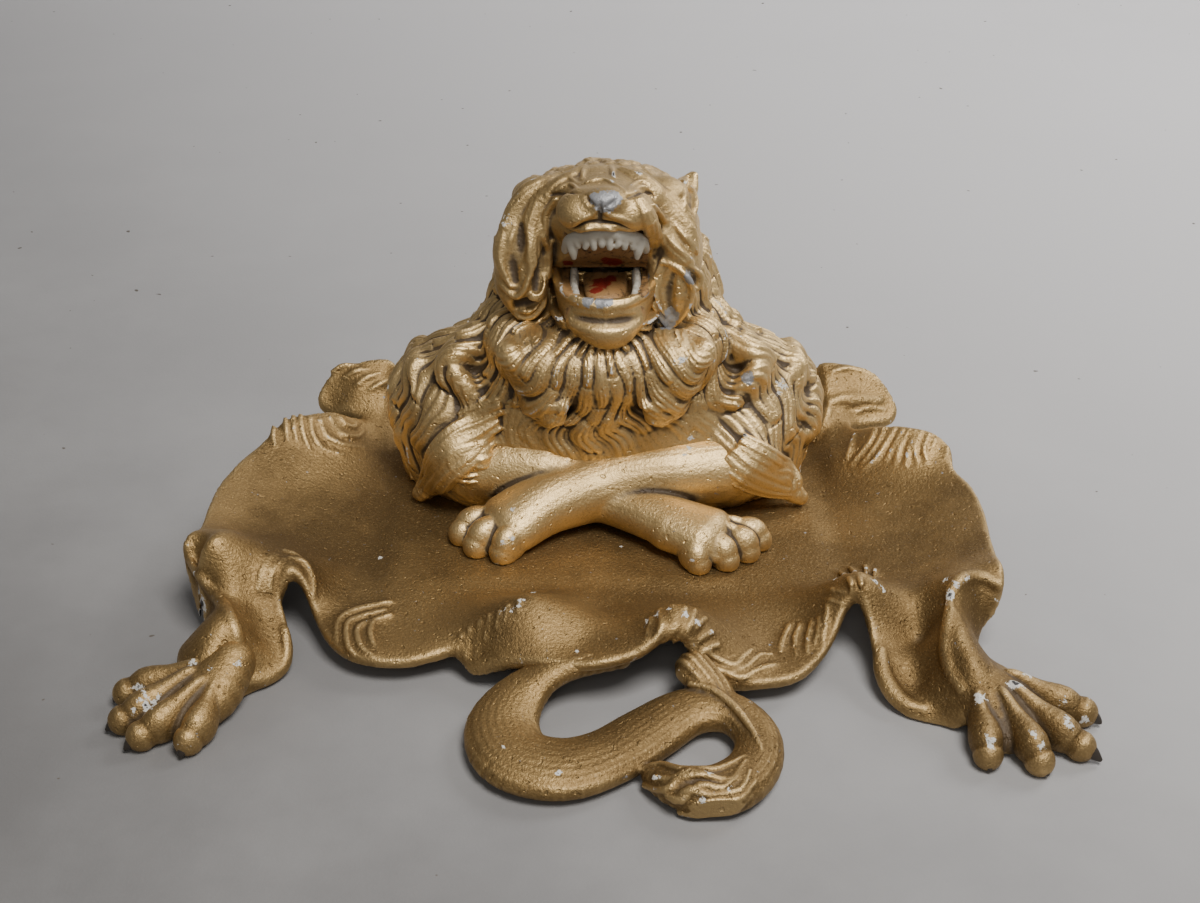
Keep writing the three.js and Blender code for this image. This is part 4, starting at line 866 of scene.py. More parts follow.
LION_PAW_SHARES = {
    "left": {
        "palm": [[-0.26, 0.2, 0.24, 0.1, 0.08], [-0.35, 0.16, 0.22, 0.13, 0.08],
                 [-0.42, 0.13, 0.2, 0.12, 0.06]],
        "toes": [
            [[-0.42, 0.2, 0.21], [-0.5, 0.19, 0.19], [-0.54, 0.16, 0.175], [-0.57, 0.14, 0.16]],
            [[-0.38, 0.14, 0.22], [-0.45, 0.1, 0.2], [-0.48, 0.08, 0.175], [-0.5, 0.05, 0.16]],
            [[-0.31, 0.12, 0.22], [-0.36, 0.06, 0.2], [-0.38, 0.04, 0.175], [-0.39, 0.01, 0.16]],
        ],
    },
    "right": {
        "palm": [[0.24, 0.11, 0.22, 0.09, 0.08], [0.36, 0.08, 0.21, 0.12, 0.08],
                 [0.44, 0.06, 0.19, 0.12, 0.06]],
        "toes": [
            [[0.3, 0.04, 0.2], [0.33, -0.01, 0.19], [0.345, -0.03, 0.17], [0.35, -0.05, 0.155]],
            [[0.38, 0.05, 0.21], [0.43, 0.01, 0.195], [0.45, -0.01, 0.17], [0.465, -0.03, 0.155]],
            [[0.46, 0.08, 0.21], [0.51, 0.06, 0.195], [0.53, 0.045, 0.17], [0.55, 0.03, 0.155]],
            [[0.48, 0.14, 0.2], [0.55, 0.13, 0.19], [0.58, 0.12, 0.17], [0.6, 0.11, 0.155]],
        ],
    },
}
ELBOW_LOCK_SHARES = [
    [[-0.55, 0.5, 0.42, 0.1, 0.09], [-0.63, 0.46, 0.29, 0.09, 0.07], [-0.73, 0.44, 0.18, 0.03, 0.03]],
    [[0.52, 0.46, 0.42, 0.1, 0.09], [0.64, 0.42, 0.28, 0.08, 0.06], [0.77, 0.41, 0.18, 0.03, 0.03]],
]
LOCK_SHARES = {
    "left": [
        [-0.24, 0.6, 1.34, 0.11, 0.1], [-0.305, 0.53, 1.22, 0.095, 0.1], [-0.295, 0.49, 1.08, 0.08, 0.08],
        [-0.28, 0.49, 0.98, 0.05, 0.04],
    ],
    "right": [
        [0.24, 0.6, 1.34, 0.11, 0.1], [0.3, 0.52, 1.2, 0.095, 0.1], [0.29, 0.47, 1.06, 0.08, 0.08],
        [0.265, 0.46, 0.95, 0.045, 0.04],
    ],
}
CHEEK_SHARES = [
    [1.05, 0.37, 0.6, 1.0], [1.2, 0.36, 0.56, 1.01], [1.3, 0.3, 0.55, 0.98], [1.36, 0.2, 0.6, 0.9],
]


LION_TOE_SHARES = {"left": 0.058, "right": 0.052}


def scaled(shares):
    """Shares of the lion's size, in millimetres."""
    return np.array(shares, float) * LION_SIZE


def press_scaled(clay, limbs, **options):
    """Presses limbs that are given in shares."""
    for rows in limbs:
        press_limb(clay, scaled(rows), **options)


def press_lion_paws(clay):
    """Presses both of the lion's paws. Returns their claws."""
    return [claw for side, shares in LION_PAW_SHARES.items()
            for claw in press_paw(clay, shares, LION_SIZE, LION_TOE_SHARES[side])]


def mirrored(shares):
    """The same rows on the other side."""
    rows = np.array(shares, float)
    rows[..., 0] *= -1
    return rows


# %% [markdown]
# ### Machined and fitted faces
#
# The casting was filed level at the deck, drilled for the pin and screws, and bored for the pot.

# %% Fitted faces
POT_Y = 74.0
POT_RADIUS, POT_FLANGE_RADIUS, POT_FLANGE_HEIGHT, POT_CLEARANCE = 18.0, 22.0, 2.5, 0.5
PIN_RADIUS, KNUCKLE_RADIUS = 1.75, 4.2
LID_KNUCKLE_HALF, BUST_KNUCKLE_WIDTH, SIDE_CLEARANCE = 6.0, 6.0, 0.3
SCREW_PLACES = [(-62.0, 60.0), (62.0, 60.0), (0.0, 90.0)]
SCREW_HOLE_RADIUS, SCREW_HOLE_TOP, BOSS_RADIUS, BOSS_HEIGHT = 2.9, 26.7, 8.0, 20.0
SWING_ROOM, SWING_ANGLES = 1.6, (0, 9, 18)
BORE_LOW, CLEAR_OVER_DECK, PIN_REACH = 60.0, 9.0, 60.0


def press_round(clay, radius, centre, low, high, axis=2, blend=0.4, cut=False):
    """Presses or cuts a cylinder along an axis. Its centre gives the other two coordinates."""
    others = [k for k in range(3) if k != axis]
    least, most = np.zeros(3), np.zeros(3)
    least[others], most[others] = np.array(centre) - radius, np.array(centre) + radius
    least[axis], most[axis] = low, high
    slices, grid = clay.window(least - BOX_MARGIN, most + BOX_MARGIN)
    away = np.sqrt((grid[others[0]] - centre[0]) ** 2 + (grid[others[1]] - centre[1]) ** 2) - radius
    ends = np.abs(grid[axis] - (low + high) / 2) - (high - low) / 2
    clay.press(slices, np.maximum(away, ends).astype(np.float32), blend, cut)


def press_block(clay, low, high, blend=0.4, cut=False):
    """Presses or cuts a box between two corners."""
    low, high = np.array(low, float), np.array(high, float)
    slices, grid = clay.window(low - BOX_MARGIN, high + BOX_MARGIN)
    sides = [np.abs(grid[k] - (low[k] + high[k]) / 2) - (high[k] - low[k]) / 2 for k in range(3)]
    distance = np.maximum(np.maximum(sides[0], sides[1]), sides[2])
    clay.press(slices, distance.astype(np.float32), blend, cut)


def swung(rows, degrees):
    """Turns points about the hinge, so that the front goes up."""
    rows = np.array(rows, float)
    c, s = math.cos(math.radians(-degrees)), math.sin(math.radians(-degrees))
    y, z = rows[:, 1] - HINGE[1], rows[:, 2] - HINGE[2]
    rows[:, 1], rows[:, 2] = HINGE[1] + c * y - s * z, HINGE[2] + s * y + c * z
    return rows


def keep_over_hide(clay):
    """Cuts away what lies under the hide's top."""
    x, y, _ = clay.cells()
    clay.cut_below(hide_top(x[..., 0], y[..., 0])[..., None] + TOUCH_GAP)


def drill_pin(clay):
    """Drills the hole of the hinge pin."""
    press_round(clay, PIN_RADIUS, HINGE[1:], -PIN_REACH, PIN_REACH, axis=0, cut=True, blend=0.2)


def fit_bust(clay, sunk=0.0):
    """Cuts the deck, the head's swing room, the hollow and the pot's bore, all sunk by as much."""
    clay.cut_above(DECK_HEIGHT - sunk)
    keep_over_hide(clay)
    for shares in LOCK_SHARES.values():
        for degrees in SWING_ANGLES:
            rows = swung(scaled(shares), degrees)
            rows[:, 3:5] += SWING_ROOM + sunk
            press_limb(clay, rows, over=(0, 1, 0), blend=0.5, cut=True)
    hollow = scaled(HOLLOW_SHARES)
    hollow[-1, 0] = hollow[-2, 0] = DECK_HEIGHT - BUST_WALL
    press_stack(clay, hollow[:-1], blend=0.5, cut=True, shrink=BUST_WALL - sunk)
    seat, over = DECK_HEIGHT - POT_FLANGE_HEIGHT - TOUCH_GAP - sunk, DECK_HEIGHT + CLEAR_OVER_DECK
    bore, flange_bore = POT_RADIUS + POT_CLEARANCE + sunk, POT_FLANGE_RADIUS + POT_CLEARANCE + 2 * sunk
    press_round(clay, bore, (0, POT_Y), BORE_LOW, over, cut=True)
    press_round(clay, flange_bore, (0, POT_Y), seat, over, blend=0.3, cut=True)


def fit_hinge(clay):
    """Adds the two knuckles of the bust and drills them, and the bosses for the screws."""
    reach = LID_KNUCKLE_HALF + SIDE_CLEARANCE
    y, z = HINGE[1:]
    for side in (-1, 1):
        low, high = sorted((side * reach, side * (reach + BUST_KNUCKLE_WIDTH)))
        press_round(clay, KNUCKLE_RADIUS, (y, z), low, high, axis=0)
        press_block(clay, (low, y - 3 * KNUCKLE_RADIUS, DECK_HEIGHT - 2 * KNUCKLE_RADIUS),
                    (high, y + KNUCKLE_RADIUS / 2, DECK_HEIGHT - TOUCH_GAP))
        press_block(clay, (low, y - 0.9 * KNUCKLE_RADIUS, DECK_HEIGHT - 2 * KNUCKLE_RADIUS),
                    (high, y + 0.9 * KNUCKLE_RADIUS, z))
    press_round(clay, KNUCKLE_RADIUS + TOUCH_GAP, (y, z), -reach, reach, axis=0, cut=True)
    drill_pin(clay)
    for place in SCREW_PLACES:
        press_round(clay, BOSS_RADIUS, place, SEAT_HEIGHT + TOUCH_GAP, SEAT_HEIGHT + BOSS_HEIGHT)
        press_round(clay, SCREW_HOLE_RADIUS, place, 0, SCREW_HOLE_TOP, cut=True)


# %% [markdown]
# ### Broad locks of the mane
#
# Under the fine fur the mane is modelled in broad hanging locks, the same ones as in the CAD
# model: each line lies where a level ray from the lion's axis leaves the torso or the shoulders.

# %% Broad locks
TORSO_SQUARENESS = 2.4
MANE_TOP_SHARES = [1.08, 0.86, 0.62]
MANE_FALL_SHARE = 0.27
MANE_LOCK_SHARES = np.array([[0.07, 0.045], [0.115, 0.065], [0.105, 0.06], [0.05, 0.03]])
MANE_FIRST, MANE_LAST, MANE_COUNT, MANE_SWING = -80.0, 52.0, 4, 10.0


def on_mane(angle, height):
    """A place on the torso or a mass, in shares, in a direction from the axis and at a height."""
    heights, *sides = np.array(TORSO_SHARES).T
    half, front, back = (np.interp(height, heights, side) for side in sides)
    middle = (front + back) / 2
    c, s = np.cos(angle), np.sin(angle)
    reach = ((np.abs(c) / half) ** TORSO_SQUARENESS
             + (np.abs(2 * s) / (back - front)) ** TORSO_SQUARENESS) ** (-1 / TORSO_SQUARENESS)
    for centre, radii in BUST_MASS_SHARES:
        u, v = -centre[0] / radii[0], (middle - centre[1]) / radii[1]
        w = (height - centre[2]) / radii[2]
        du, dv = c / radii[0], -s / radii[1]
        square, along = du * du + dv * dv, u * du + v * dv
        room = along * along - square * (u * u + v * v + w * w - 1)
        reach = np.maximum(reach, np.where(room > 0, (np.sqrt(np.maximum(room, 0)) - along) / square, 0))
    return np.stack([c * reach, middle - s * reach, height], axis=-1)


def press_mane_locks(clay, **options):
    """Presses broad locks with their own swing on both sides, but none low in front."""
    t = np.linspace(0, 1, len(MANE_LOCK_SHARES))
    for side in (-1, 1):
        for row, top in enumerate(MANE_TOP_SHARES):
            for column in range(MANE_COUNT):
                if column == MANE_COUNT - 1 and row == len(MANE_TOP_SHARES) - 1:
                    continue
                share = (column + (row % 2) / 2) / (MANE_COUNT - 0.5)
                along = MANE_FIRST + (MANE_LAST - MANE_FIRST) * share
                angle = np.radians(along + MANE_SWING * np.sin(2 * np.pi * t + column))
                places = on_mane(angle, top - MANE_FALL_SHARE * t) * (side, 1, 1)
                outward = (side * math.cos(math.radians(along)), -math.sin(math.radians(along)), 0)
                rows = np.column_stack([places, MANE_LOCK_SHARES]) * LION_SIZE
                press_limb(clay, rows, over=outward, **options)


# %% [markdown]
# ### Combed hair
#
# The mane covers its forms without a gap, in wavy locks that overlap like tiles. Each lock rises
# from its root to its tip, narrows, and ends over the root of the next one, and it is made of
# strands side by side. Such hair is raised on the clay by one formula in two lengths: how far a
# cell lies beside the hair, and how far down it.

# %% Combing
HAIR_WAVE, HAIR_DRIFT, HAIR_DRIFT_PITCH = 6.1, 1.9, 17.0
HAIR_RIPPLE, RIPPLE_DOWN, RIPPLE_BESIDE = 0.8, 0.31, 0.23
LOCK_STAGGER, LOCK_NARROWING, LOCK_FULLNESS, LOCK_ROOT, LOCK_END = 0.618, 0.45, 0.7, 0.35, 2.4
HALF_TURN = 3.142
COMB_REACH, COMB_SUNK = 2.0, 0.5


def smooth_step(value, low, high):
    """Goes from 0 at low to 1 at high along an S-shaped curve."""
    t = np.clip((value - low) / (high - low), 0, 1)
    return t * t * (3 - 2 * t)


def hair_height(beside, down, lock, length, strand, swing, fine=0.38):
    """Height of hair from 0 to 1, from the places beside and down it and the sizes of its locks.

    Each lock is 1 - (s / (1 - narrowing t^3))^2 high, where s runs from -1 to 1 across it and t
    from 0 to 1 down it, and rises towards its end. Strands are |cos| waves of a share called fine.
    """
    swung_by = swing * np.sin(down / HAIR_WAVE + HAIR_DRIFT * np.sin(beside / HAIR_DRIFT_PITCH))
    beside = beside + swung_by + HAIR_RIPPLE * np.sin(RIPPLE_DOWN * down + RIPPLE_BESIDE * beside)
    row = np.floor(beside / lock)
    side = 2 * (beside / lock - row) - 1
    t = (down / length + LOCK_STAGGER * row) % 1
    body = np.clip(1 - (side / (1 - LOCK_NARROWING * t ** 3)) ** 2, 0, 1) ** LOCK_FULLNESS
    body *= (LOCK_ROOT + (1 - LOCK_ROOT) * t) * np.clip((1 - t) * length / LOCK_END, 0, 1)
    strands = np.abs(np.cos(HALF_TURN * beside / strand + 2 * row))
    return (1 - fine) * body + fine * strands * (LOCK_ROOT + (1 - LOCK_ROOT) * body)


def comb(clay, lay, height, **pattern):
    """Raises hair on a clay. Lay gives beside, down and strength. Without strength the clay sinks."""
    cells = np.nonzero(np.abs(clay.field) < height + COMB_REACH)
    x, y, z = (clay.low[k] + clay.voxel * cells[k] for k in range(3))
    beside, down, strength = lay(x, y, z)
    raised = height * hair_height(beside, down, **pattern) * strength
    raised -= COMB_SUNK * (1 - smooth_step(strength, 0, 0.15))
    clay.field[cells] -= raised.astype(np.float32)


# %% [markdown]
# ### Round masses of the bust
#
# The bust stands as its round masses, with the hollow and the fitted faces cut. A second clay
# with arms and paws on it is kept as the form that the elbows' locks are traced on.

# %% Bust forms
CHEST_FOLD_ROWS = [
    [(-38, 50, 66, 8, 7), (-37, 51, 54, 11, 9), (-34, 54, 44, 13, 9), (-28, 58, 32, 13, 9)],
    [(37, 50, 66, 8, 7), (37, 51, 54, 11, 9), (34, 54, 45, 13, 9), (29, 58, 34, 13, 9)],
    [(-4, 35, 66, 9, 8), (-3, 36, 58, 11, 7), (-5, 38, 50, 7, 5), (-9, 40, 45, 3, 3)],
]
FOREARM_LIFT, FOREARM_FULLER = np.array([0, -3.5, 5.0, 0, 0]), np.array([1, 1, 1, 1.15, 1.12])
LEG_WALL = 5.0


def press_bust_forms(clay):
    """All the round forms of the bust, without its forelegs."""
    press_stack(clay, scaled(TORSO_SHARES))
    press_stack(clay, scaled(THROAT_SHARES)[:3], blend=2)
    for centre, radii in BUST_MASS_SHARES:
        press_ball(clay, scaled(centre), scaled(radii), blend=5)
    press_limb(clay, scaled(RUFF_SHARES), blend=3)
    press_scaled(clay, UPPER_ARM_SHARES, blend=4)
    press_scaled(clay, ELBOW_LOCK_SHARES, blend=3)
    press_mane_locks(clay, blend=2.5)
    for rows in CHEST_FOLD_ROWS:
        press_limb(clay, rows, blend=5)


bust = Clay([-88, -10, 12], [90, 116, 119], 0.9)
press_bust_forms(bust)

form = bust.copied()
press_scaled(form, UPPER_ARM_SHARES, blend=4)
press_scaled(form, FOREARM_SHARES, blend=2.5)
press_lion_paws(form)
keep_over_hide(form)

fit_bust(bust)
fit_hinge(bust)
bust_mesh = skin(bust, "bust_body", adaptivity=0.004)

# %% [markdown]
# ### Forelegs
#
# The right foreleg lies over the left one, and each ends in a paw with four toes.

# %% Forelegs
legs = Clay([-66, -10, 12], [76, 66, 62], 0.6)
press_scaled(legs, UPPER_ARM_SHARES, blend=4)
for rows in FOREARM_SHARES[::-1]:
    raised = np.linspace(1, 0, len(rows))[:, None] * FOREARM_LIFT
    press_limb(legs, scaled(rows) * FOREARM_FULLER + raised, blend=1.5, strands=13, groove=0.1)
claws = press_lion_paws(legs)
keep_over_hide(legs)
press_stack(legs, scaled(HOLLOW_SHARES)[:-1], blend=0.5, cut=True, shrink=LEG_WALL)
legs_mesh = skin(legs, "forelegs")
lion_claws_mesh = claw_skin(claws, "lion_claws", (-62, -10, 10), (66, 20, 26))

# %% [markdown]
# ## The mane
#
# Hair is combed over the round masses in four skins: the flanks left and right, the back, and
# the ruff with the chest. On the flanks and the back it falls from the neck: how far beside the
# hair a place lies is its direction round the lion's axis, and how far down is its distance from
# the top of the neck. Under the chin it spreads like rays. Only the fringes at the elbows are
# traced, because the photograph shows each of their locks.

# %% Locks of the mane
LEFT_ELBOW = """
500,405 480,412 460,420
495,415 475,425 458,432 447,445 437,460 430,470 420,488
497,422 478,434 462,443 452,452 445,464 436,478 428,490
490,430 470,440 455,445 447,455 442,470 435,480 425,489
485,445 470,447 458,450 452,458 455,468 465,475 480,475
490,455 480,460 470,455
488,438 474,452 464,462 452,474 442,488
470,425 452,436 440,450 432,462 424,476
462,462 450,472 440,484 432,490
"""
RIGHT_ELBOW = """
745,450 765,462 785,468 797,480 799,490
735,452 752,466 772,476 790,486
720,465 740,478 765,488 790,495
728,458 745,472 766,482 788,491
742,442 760,452 776,462 790,472
772,470 784,474 792,482
"""
MANE_AXIS_Y, NECK_TOP, NECK_RADIUS, CHIN_HEIGHT = 70.0, 118.0, 34.0, 104.0
NECK_FADE, FLANK_TURN, FLANK_INNER, SIDE_OFFSET = (2, 16), (34, 48), (17, 24), 40
ELBOW_TOP, ELBOW_BACK = (32, 44), (46, 58)
BREAST_TOP, BREAST_SIDE, BREAST_BACK = (58, 68), (40, 50), (50, 60)
SMOOTHER_SHARE = 0.6  # of the hair that elbows and breast lose
BACK_FRONT, BACK_SIDE, BACK_OFFSET = (84, 92), (20, 30), 5
RUFF_LOW, RUFF_SAG, FRONT_TURN, RAY_SHARE, CHEST_LEAST = (63, 67), 0.004, (42, 56), 0.62, 0.4
TUFT_X, TUFT_Z, TUFT_LEAN, TUFT_HALF, TUFT_FADE = -4, 58, 0.25, (25, 20), (0.7, 1.1)
MANE_COMB = {"height": 2.7, "lock": 8.5, "length": 30, "strand": 2.5, "swing": 2.6}
RUFF_COMB = {"height": 1.9, "lock": 6.5, "length": 23, "strand": 1.7, "swing": 2.4, "fine": 0.5}
MANE_SUNK, MANE_ADAPTIVITY = 0.6, 0.01


def round_the_neck(x, y, z):
    """Direction round the lion's axis in degrees, 0 to the front, and how far down from the neck."""
    turn = np.degrees(np.arctan2(np.abs(x), MANE_AXIS_Y - y))
    outward = np.maximum(np.hypot(x, y - MANE_AXIS_Y) - NECK_RADIUS, 0)
    return turn, np.hypot(NECK_TOP - z, outward)


def smooth_drop(value, low, high):
    """Goes from 1 at low to 0 at high."""
    return 1 - smooth_step(value, low, high)


def flank_lay(x, y, z):
    """Hair from the neck down the flank, weaker at the elbow and on the breast."""
    turn, down = round_the_neck(x, y, z)
    elbow = smooth_drop(z, *ELBOW_TOP) * smooth_drop(y, *ELBOW_BACK)
    breast = smooth_drop(np.abs(x), *BREAST_SIDE) * smooth_drop(y, *BREAST_BACK)
    breast = smooth_drop(z, *BREAST_TOP) * breast
    strength = smooth_step(turn, *FLANK_TURN) * smooth_step(np.abs(x), *FLANK_INNER)
    strength = strength * smooth_step(down, *NECK_FADE) * (1 - SMOOTHER_SHARE * np.maximum(elbow, breast))
    return turn + SIDE_OFFSET * np.sign(x), down, strength


def back_lay(x, y, z):
    """Hair from the neck down the back."""
    turn, down = round_the_neck(x, y, z)
    strength = smooth_step(y, *BACK_FRONT) * smooth_drop(np.abs(x), *BACK_SIDE)
    strength = strength * smooth_step(down, *NECK_FADE)
    return turn * np.sign(x), down + BACK_OFFSET, strength


def chest_lay(x, y, z):
    """Rays from the chin, full in the ruff and in the tuft between the arms, and weak elsewhere."""
    turn, _ = round_the_neck(x, y, z)
    down = CHIN_HEIGHT - z
    ruff = smooth_step(z + RUFF_SAG * x * x, *RUFF_LOW)
    lean = (x - TUFT_X - TUFT_LEAN * (z - TUFT_Z)) / TUFT_HALF[0]
    tuft = smooth_drop(np.hypot(lean, (z - TUFT_Z) / TUFT_HALF[1]), *TUFT_FADE)
    strength = np.maximum(np.maximum(ruff, tuft), CHEST_LEAST) * smooth_drop(turn, *FRONT_TURN)
    return RAY_SHARE * np.degrees(np.arctan2(x, down)), np.hypot(x, down), strength


def maned(name, low, high, lay, pattern, elbow=None):
    """A fine skin of part of the bust's forms, with combed hair and the locks of an elbow."""
    clay = Clay(low, high, 0.6)
    press_bust_forms(clay)
    comb(clay, lay, **pattern)
    if elbow:
        press_traced(clay, form, elbow, 2.1, 2.0, lift=0.7, beside=1, strands=2, groove=0.4)
    fit_bust(clay, sunk=MANE_SUNK)
    return skin(clay, name, MANE_ADAPTIVITY)


MANE_PARTS = [
    ("left_mane", [-88, -2, 12], [-16, 116, 119], flank_lay, MANE_COMB, LEFT_ELBOW),
    ("ruff", [-50, 8, 28], [56, 70, 116], chest_lay, RUFF_COMB),
    ("right_mane", [16, -2, 12], [92, 116, 119], flank_lay, MANE_COMB, RIGHT_ELBOW),
    ("back_mane", [-34, 66, 12], [34, 116, 119], back_lay, MANE_COMB),
]
mane_meshes = [maned(*part) for part in MANE_PARTS]

# %% [markdown]
# ## The head
#
# The head is the lid. Its forms stand on the parting plane, the mouth is cut in as a wedge whose
# roof is the palate, and the room over the pot is turned out from below. Brows, lids, lips and
# the hanging locks are then traced from the photograph on these forms.

# %% Head masses
LID_FLOOR = DECK_HEIGHT + TOUCH_GAP
LID_HOLLOW_RADIUS, LID_HOLLOW_HEIGHT = 21.0, 24.0
PALATE_SHARES = np.array([[0.2, 1.345], [0.33, 1.31], [0.5, 1.138], [0.515, 1.0], [0.2, 0.9]])
MOUTH_HALF = 15.5
HEAD_BALLS = [  # centre, radii and blend
    ((0, 74, 120), (34, 30, 21.5), 2), ((0, 58, 132), (25, 20, 15), 4),
    ((-12.5, 51, 140.5), (8, 8, 5.5), 2.5), ((13, 51, 140.5), (8, 8, 5.5), 2.5),
    ((0, 29, 147.5), (7.5, 5.5, 4.5), 3), ((-8.5, 33, 142), (9, 8.5, 7), 2.5),
    ((8.5, 33, 142), (9, 8.5, 7), 2.5), ((0, 28.5, 140), (5, 3.5, 4), 2),
]
MUZZLE_ROWS = [(0, 66, 135, 22, 11), (0, 46, 139.5, 16.5, 9.5), (0, 34, 142.5, 15, 8)]
TEMPLE_ROWS = [(-22, 68, 132, 10, 8), (-29, 69, 133, 7, 6)]
EAR_ROWS = [(22, 68, 131, 10, 8), (28, 71, 133, 6.5, 5), (31.5, 74, 135.5, 4.2, 2.6),
            (33.5, 75.5, 139, 1.6, 1.2)]
EAR_HOLLOW_ROWS = [(28.5, 67, 132, 2.6, 2), (31.5, 69.5, 136, 1.6, 1.6)]
NAPE_ROOM, NAPE_HALF, NAPE_LOW, NAPE_BACK = 1.5, 60, 80, 200
LOCK_INWARD = {"left": (0, 0, 0, 0.4, 0), "right": (3.2, 0, 0, 0.4, 0)}
head = Clay([-46, 18, 90], [48, 116, 156], 0.55)
for centre, radii, blend in HEAD_BALLS:
    press_ball(head, centre, radii, blend=blend)
press_limb(head, MUZZLE_ROWS, blend=3)
press_limb(head, TEMPLE_ROWS, blend=2.5)
press_limb(head, EAR_ROWS, blend=1.5)
press_limb(head, EAR_HOLLOW_ROWS, blend=0.8, cut=True)
press_stack(head, scaled(CHEEK_SHARES))
head.cut_below(LID_FLOOR)
press_block(head, (-NAPE_HALF, HINGE[1] - NAPE_ROOM, NAPE_LOW), (NAPE_HALF, NAPE_BACK, HINGE[2] + NAPE_ROOM),
            cut=True)
for side, rows in LOCK_SHARES.items():
    press_limb(head, scaled(rows) - LOCK_INWARD[side], over=(0, 1, 0), blend=2)
head_form = head.copied()

# %% [markdown]
# ### Locks of the head
#
# Ridges are pressed on and creases are cut, the broad ones first.

# %% Head locks
HEAD_BROAD = """
582,168 566,178 550,190 538,206 531,226 529,246
560,174 543,183 530,190 520,200 511,212 505,226
505,226 501,240 500,256 504,270 512,284
622,170 640,178 655,190 664,206 670,224
664,200 676,216 688,232 694,248
656,214 664,230 674,246 686,260
640,200 650,220 654,244 654,268 656,290
536,232 533,252 536,272 541,290
668,196 682,212 692,226
"""
HEAD_RIDGES = """
498,238 499,258 503,276 510,288 518,294 525,288 529,272 531,254
509,312 520,316 532,313 541,303 544,292
553,240 547,248 544,258 547,270 549,276
536,216 541,236 545,252 545,272 543,288
548,184 540,196 534,212
574,176 560,188 548,202 541,218
556,200 549,214 546,230 548,244
646,226 648,246 648,268 652,290 660,312 668,326
664,262 676,266 686,276 690,288 686,304 678,318 670,327
663,262 659,280 661,300 667,316
672,222 684,238 696,252
676,212 688,228 697,240
660,222 670,238 682,252 692,262
652,206 662,222 668,236
690,266 697,274 697,284 691,292
684,184 681,200 686,216
691,186 692,204 691,222
"""
FACE_RIDGES = """
628,192 632,186 640,182 648,184 654,191
630,195 638,188 646,188 652,195
552,190 560,182 570,179 578,184
554,193 562,187 572,185 578,189
583,184 594,180 606,181 617,186 626,193
600,208 592,214 583,218 574,222
600,209 609,214 620,218 632,222
563,240 572,234 583,230 594,228 604,228 614,231 626,237 638,244
590,162 584,170 582,180
606,163 612,170 614,178
"""
FACE_CREASES = """
600,204 600,210 600,218 600,224
551,195 562,193 572,192 580,193
628,198 638,193 648,192 655,198
568,229 585,224 600,222 618,225 634,231
586,196 590,203 595,206
616,200 612,204 607,207
"""
HEAD_FLAPS = """
503,264 501,282 506,298 514,310
540,278 538,292 530,304 520,311
"""
HEAD_VALLEYS = """
513,248 512,264 515,280
520,226 519,244 518,262
536,300 528,303 519,304
672,276 668,290 668,304 672,316
538,256 538,272 536,288
"""
HEAD_LINES = [  # lines, width, height, lift, blend, tip, root and whether they are cut
    (HEAD_BROAD, 3.4, 2.4, 0.1, 2.0, 0.7, 0.5, False), (HEAD_FLAPS, 3.4, 2.6, 0.1, 1.2, 0.8, 0.6, False),
    (HEAD_RIDGES, 1.3, 2.1, 0.35, 1.0, 0.5, 0.6, False), (FACE_RIDGES, 0.9, 0.9, 0.2, 0.9, 0.4, 0.4, False),
    (FACE_CREASES, 0.8, 1.2, 0.0, 0.9, 0.4, 0.5, True), (HEAD_VALLEYS, 2.9, 3.0, 0.25, 1.5, 0.6, 0.5, True),
]
for lines, width, height, lift, blend, tip, root, cut in HEAD_LINES:
    strands = 3 if lines is HEAD_BROAD else 0
    press_traced(head, head_form, lines, width, height, lift=lift, blend=blend, tip=tip, root=root, cut=cut,
                 strands=strands, groove=0.35)

# %% [markdown]
# ### Locks of the crown
#
# Four broad locks run back over the skull, on the two round masses that the CAD model has there.
# Fine locks then grow backwards over all of it, from seeded places.

# %% Crown

CROWN_SIDE_SHARES = [-0.19, -0.065, 0.065, 0.19]
CROWN_LOCK_SHARES = [[0.6, 0.035, 0.03], [0.72, 0.05, 0.045], [0.86, 0.045, 0.04], [0.97, 0.02, 0.02]]
CROWN_SWING_SHARE, CROWN_UP_SHARE, CROWN_SUNK_SHARE, CROWN_FLATTER = 0.03, 0.3, 0.02, (1, 1, 1, 1, 0.6)
CROWN_STARTS = [(x, y, 156.0) for y in (66, 76, 86, 94) for x in np.arange(-30, 31, 5.0)]
CROWN_MASS_SHARES = [((0, 0.74, 1.2), (0.34, 0.3, 0.215)), ((0, 0.58, 1.32), (0.25, 0.2, 0.15))]


def on_crown(x, y):
    """Height of the crown's two round masses over a place, in shares."""
    heights = []
    for centre, radii in CROWN_MASS_SHARES:
        left = max(1 - ((x - centre[0]) / radii[0]) ** 2 - ((y - centre[1]) / radii[1]) ** 2, 0)
        heights.append(centre[2] + radii[2] * math.sqrt(left))
    return max(heights)


for column, start in enumerate(CROWN_SIDE_SHARES):
    sides = start + CROWN_SWING_SHARE * np.sin(np.pi * np.arange(len(CROWN_LOCK_SHARES)) + column)
    rows = [(x, y, on_crown(x, y) - CROWN_SUNK_SHARE, *section)
            for x, (y, *section) in zip(sides, CROWN_LOCK_SHARES)]
    press_limb(head, scaled(rows) * CROWN_FLATTER, over=(start, 0, CROWN_UP_SHARE), blend=4, strands=4,
               groove=0.3)
head_form = head.copied()
rng = np.random.default_rng(17)
crown = np.array(CROWN_STARTS)
crown += rng.normal(0, 1.0, crown.shape)
for points, normals in zip(*grown(head_form, crown, (0, 0, -1), (0, 1, -0.35), 15, wave=0.5, seed=6)):
    press_lock(head, points, normals, 2.3, 1.2, lift=0.0, tip=0.4, root=0.4, strands=2, groove=0.3)

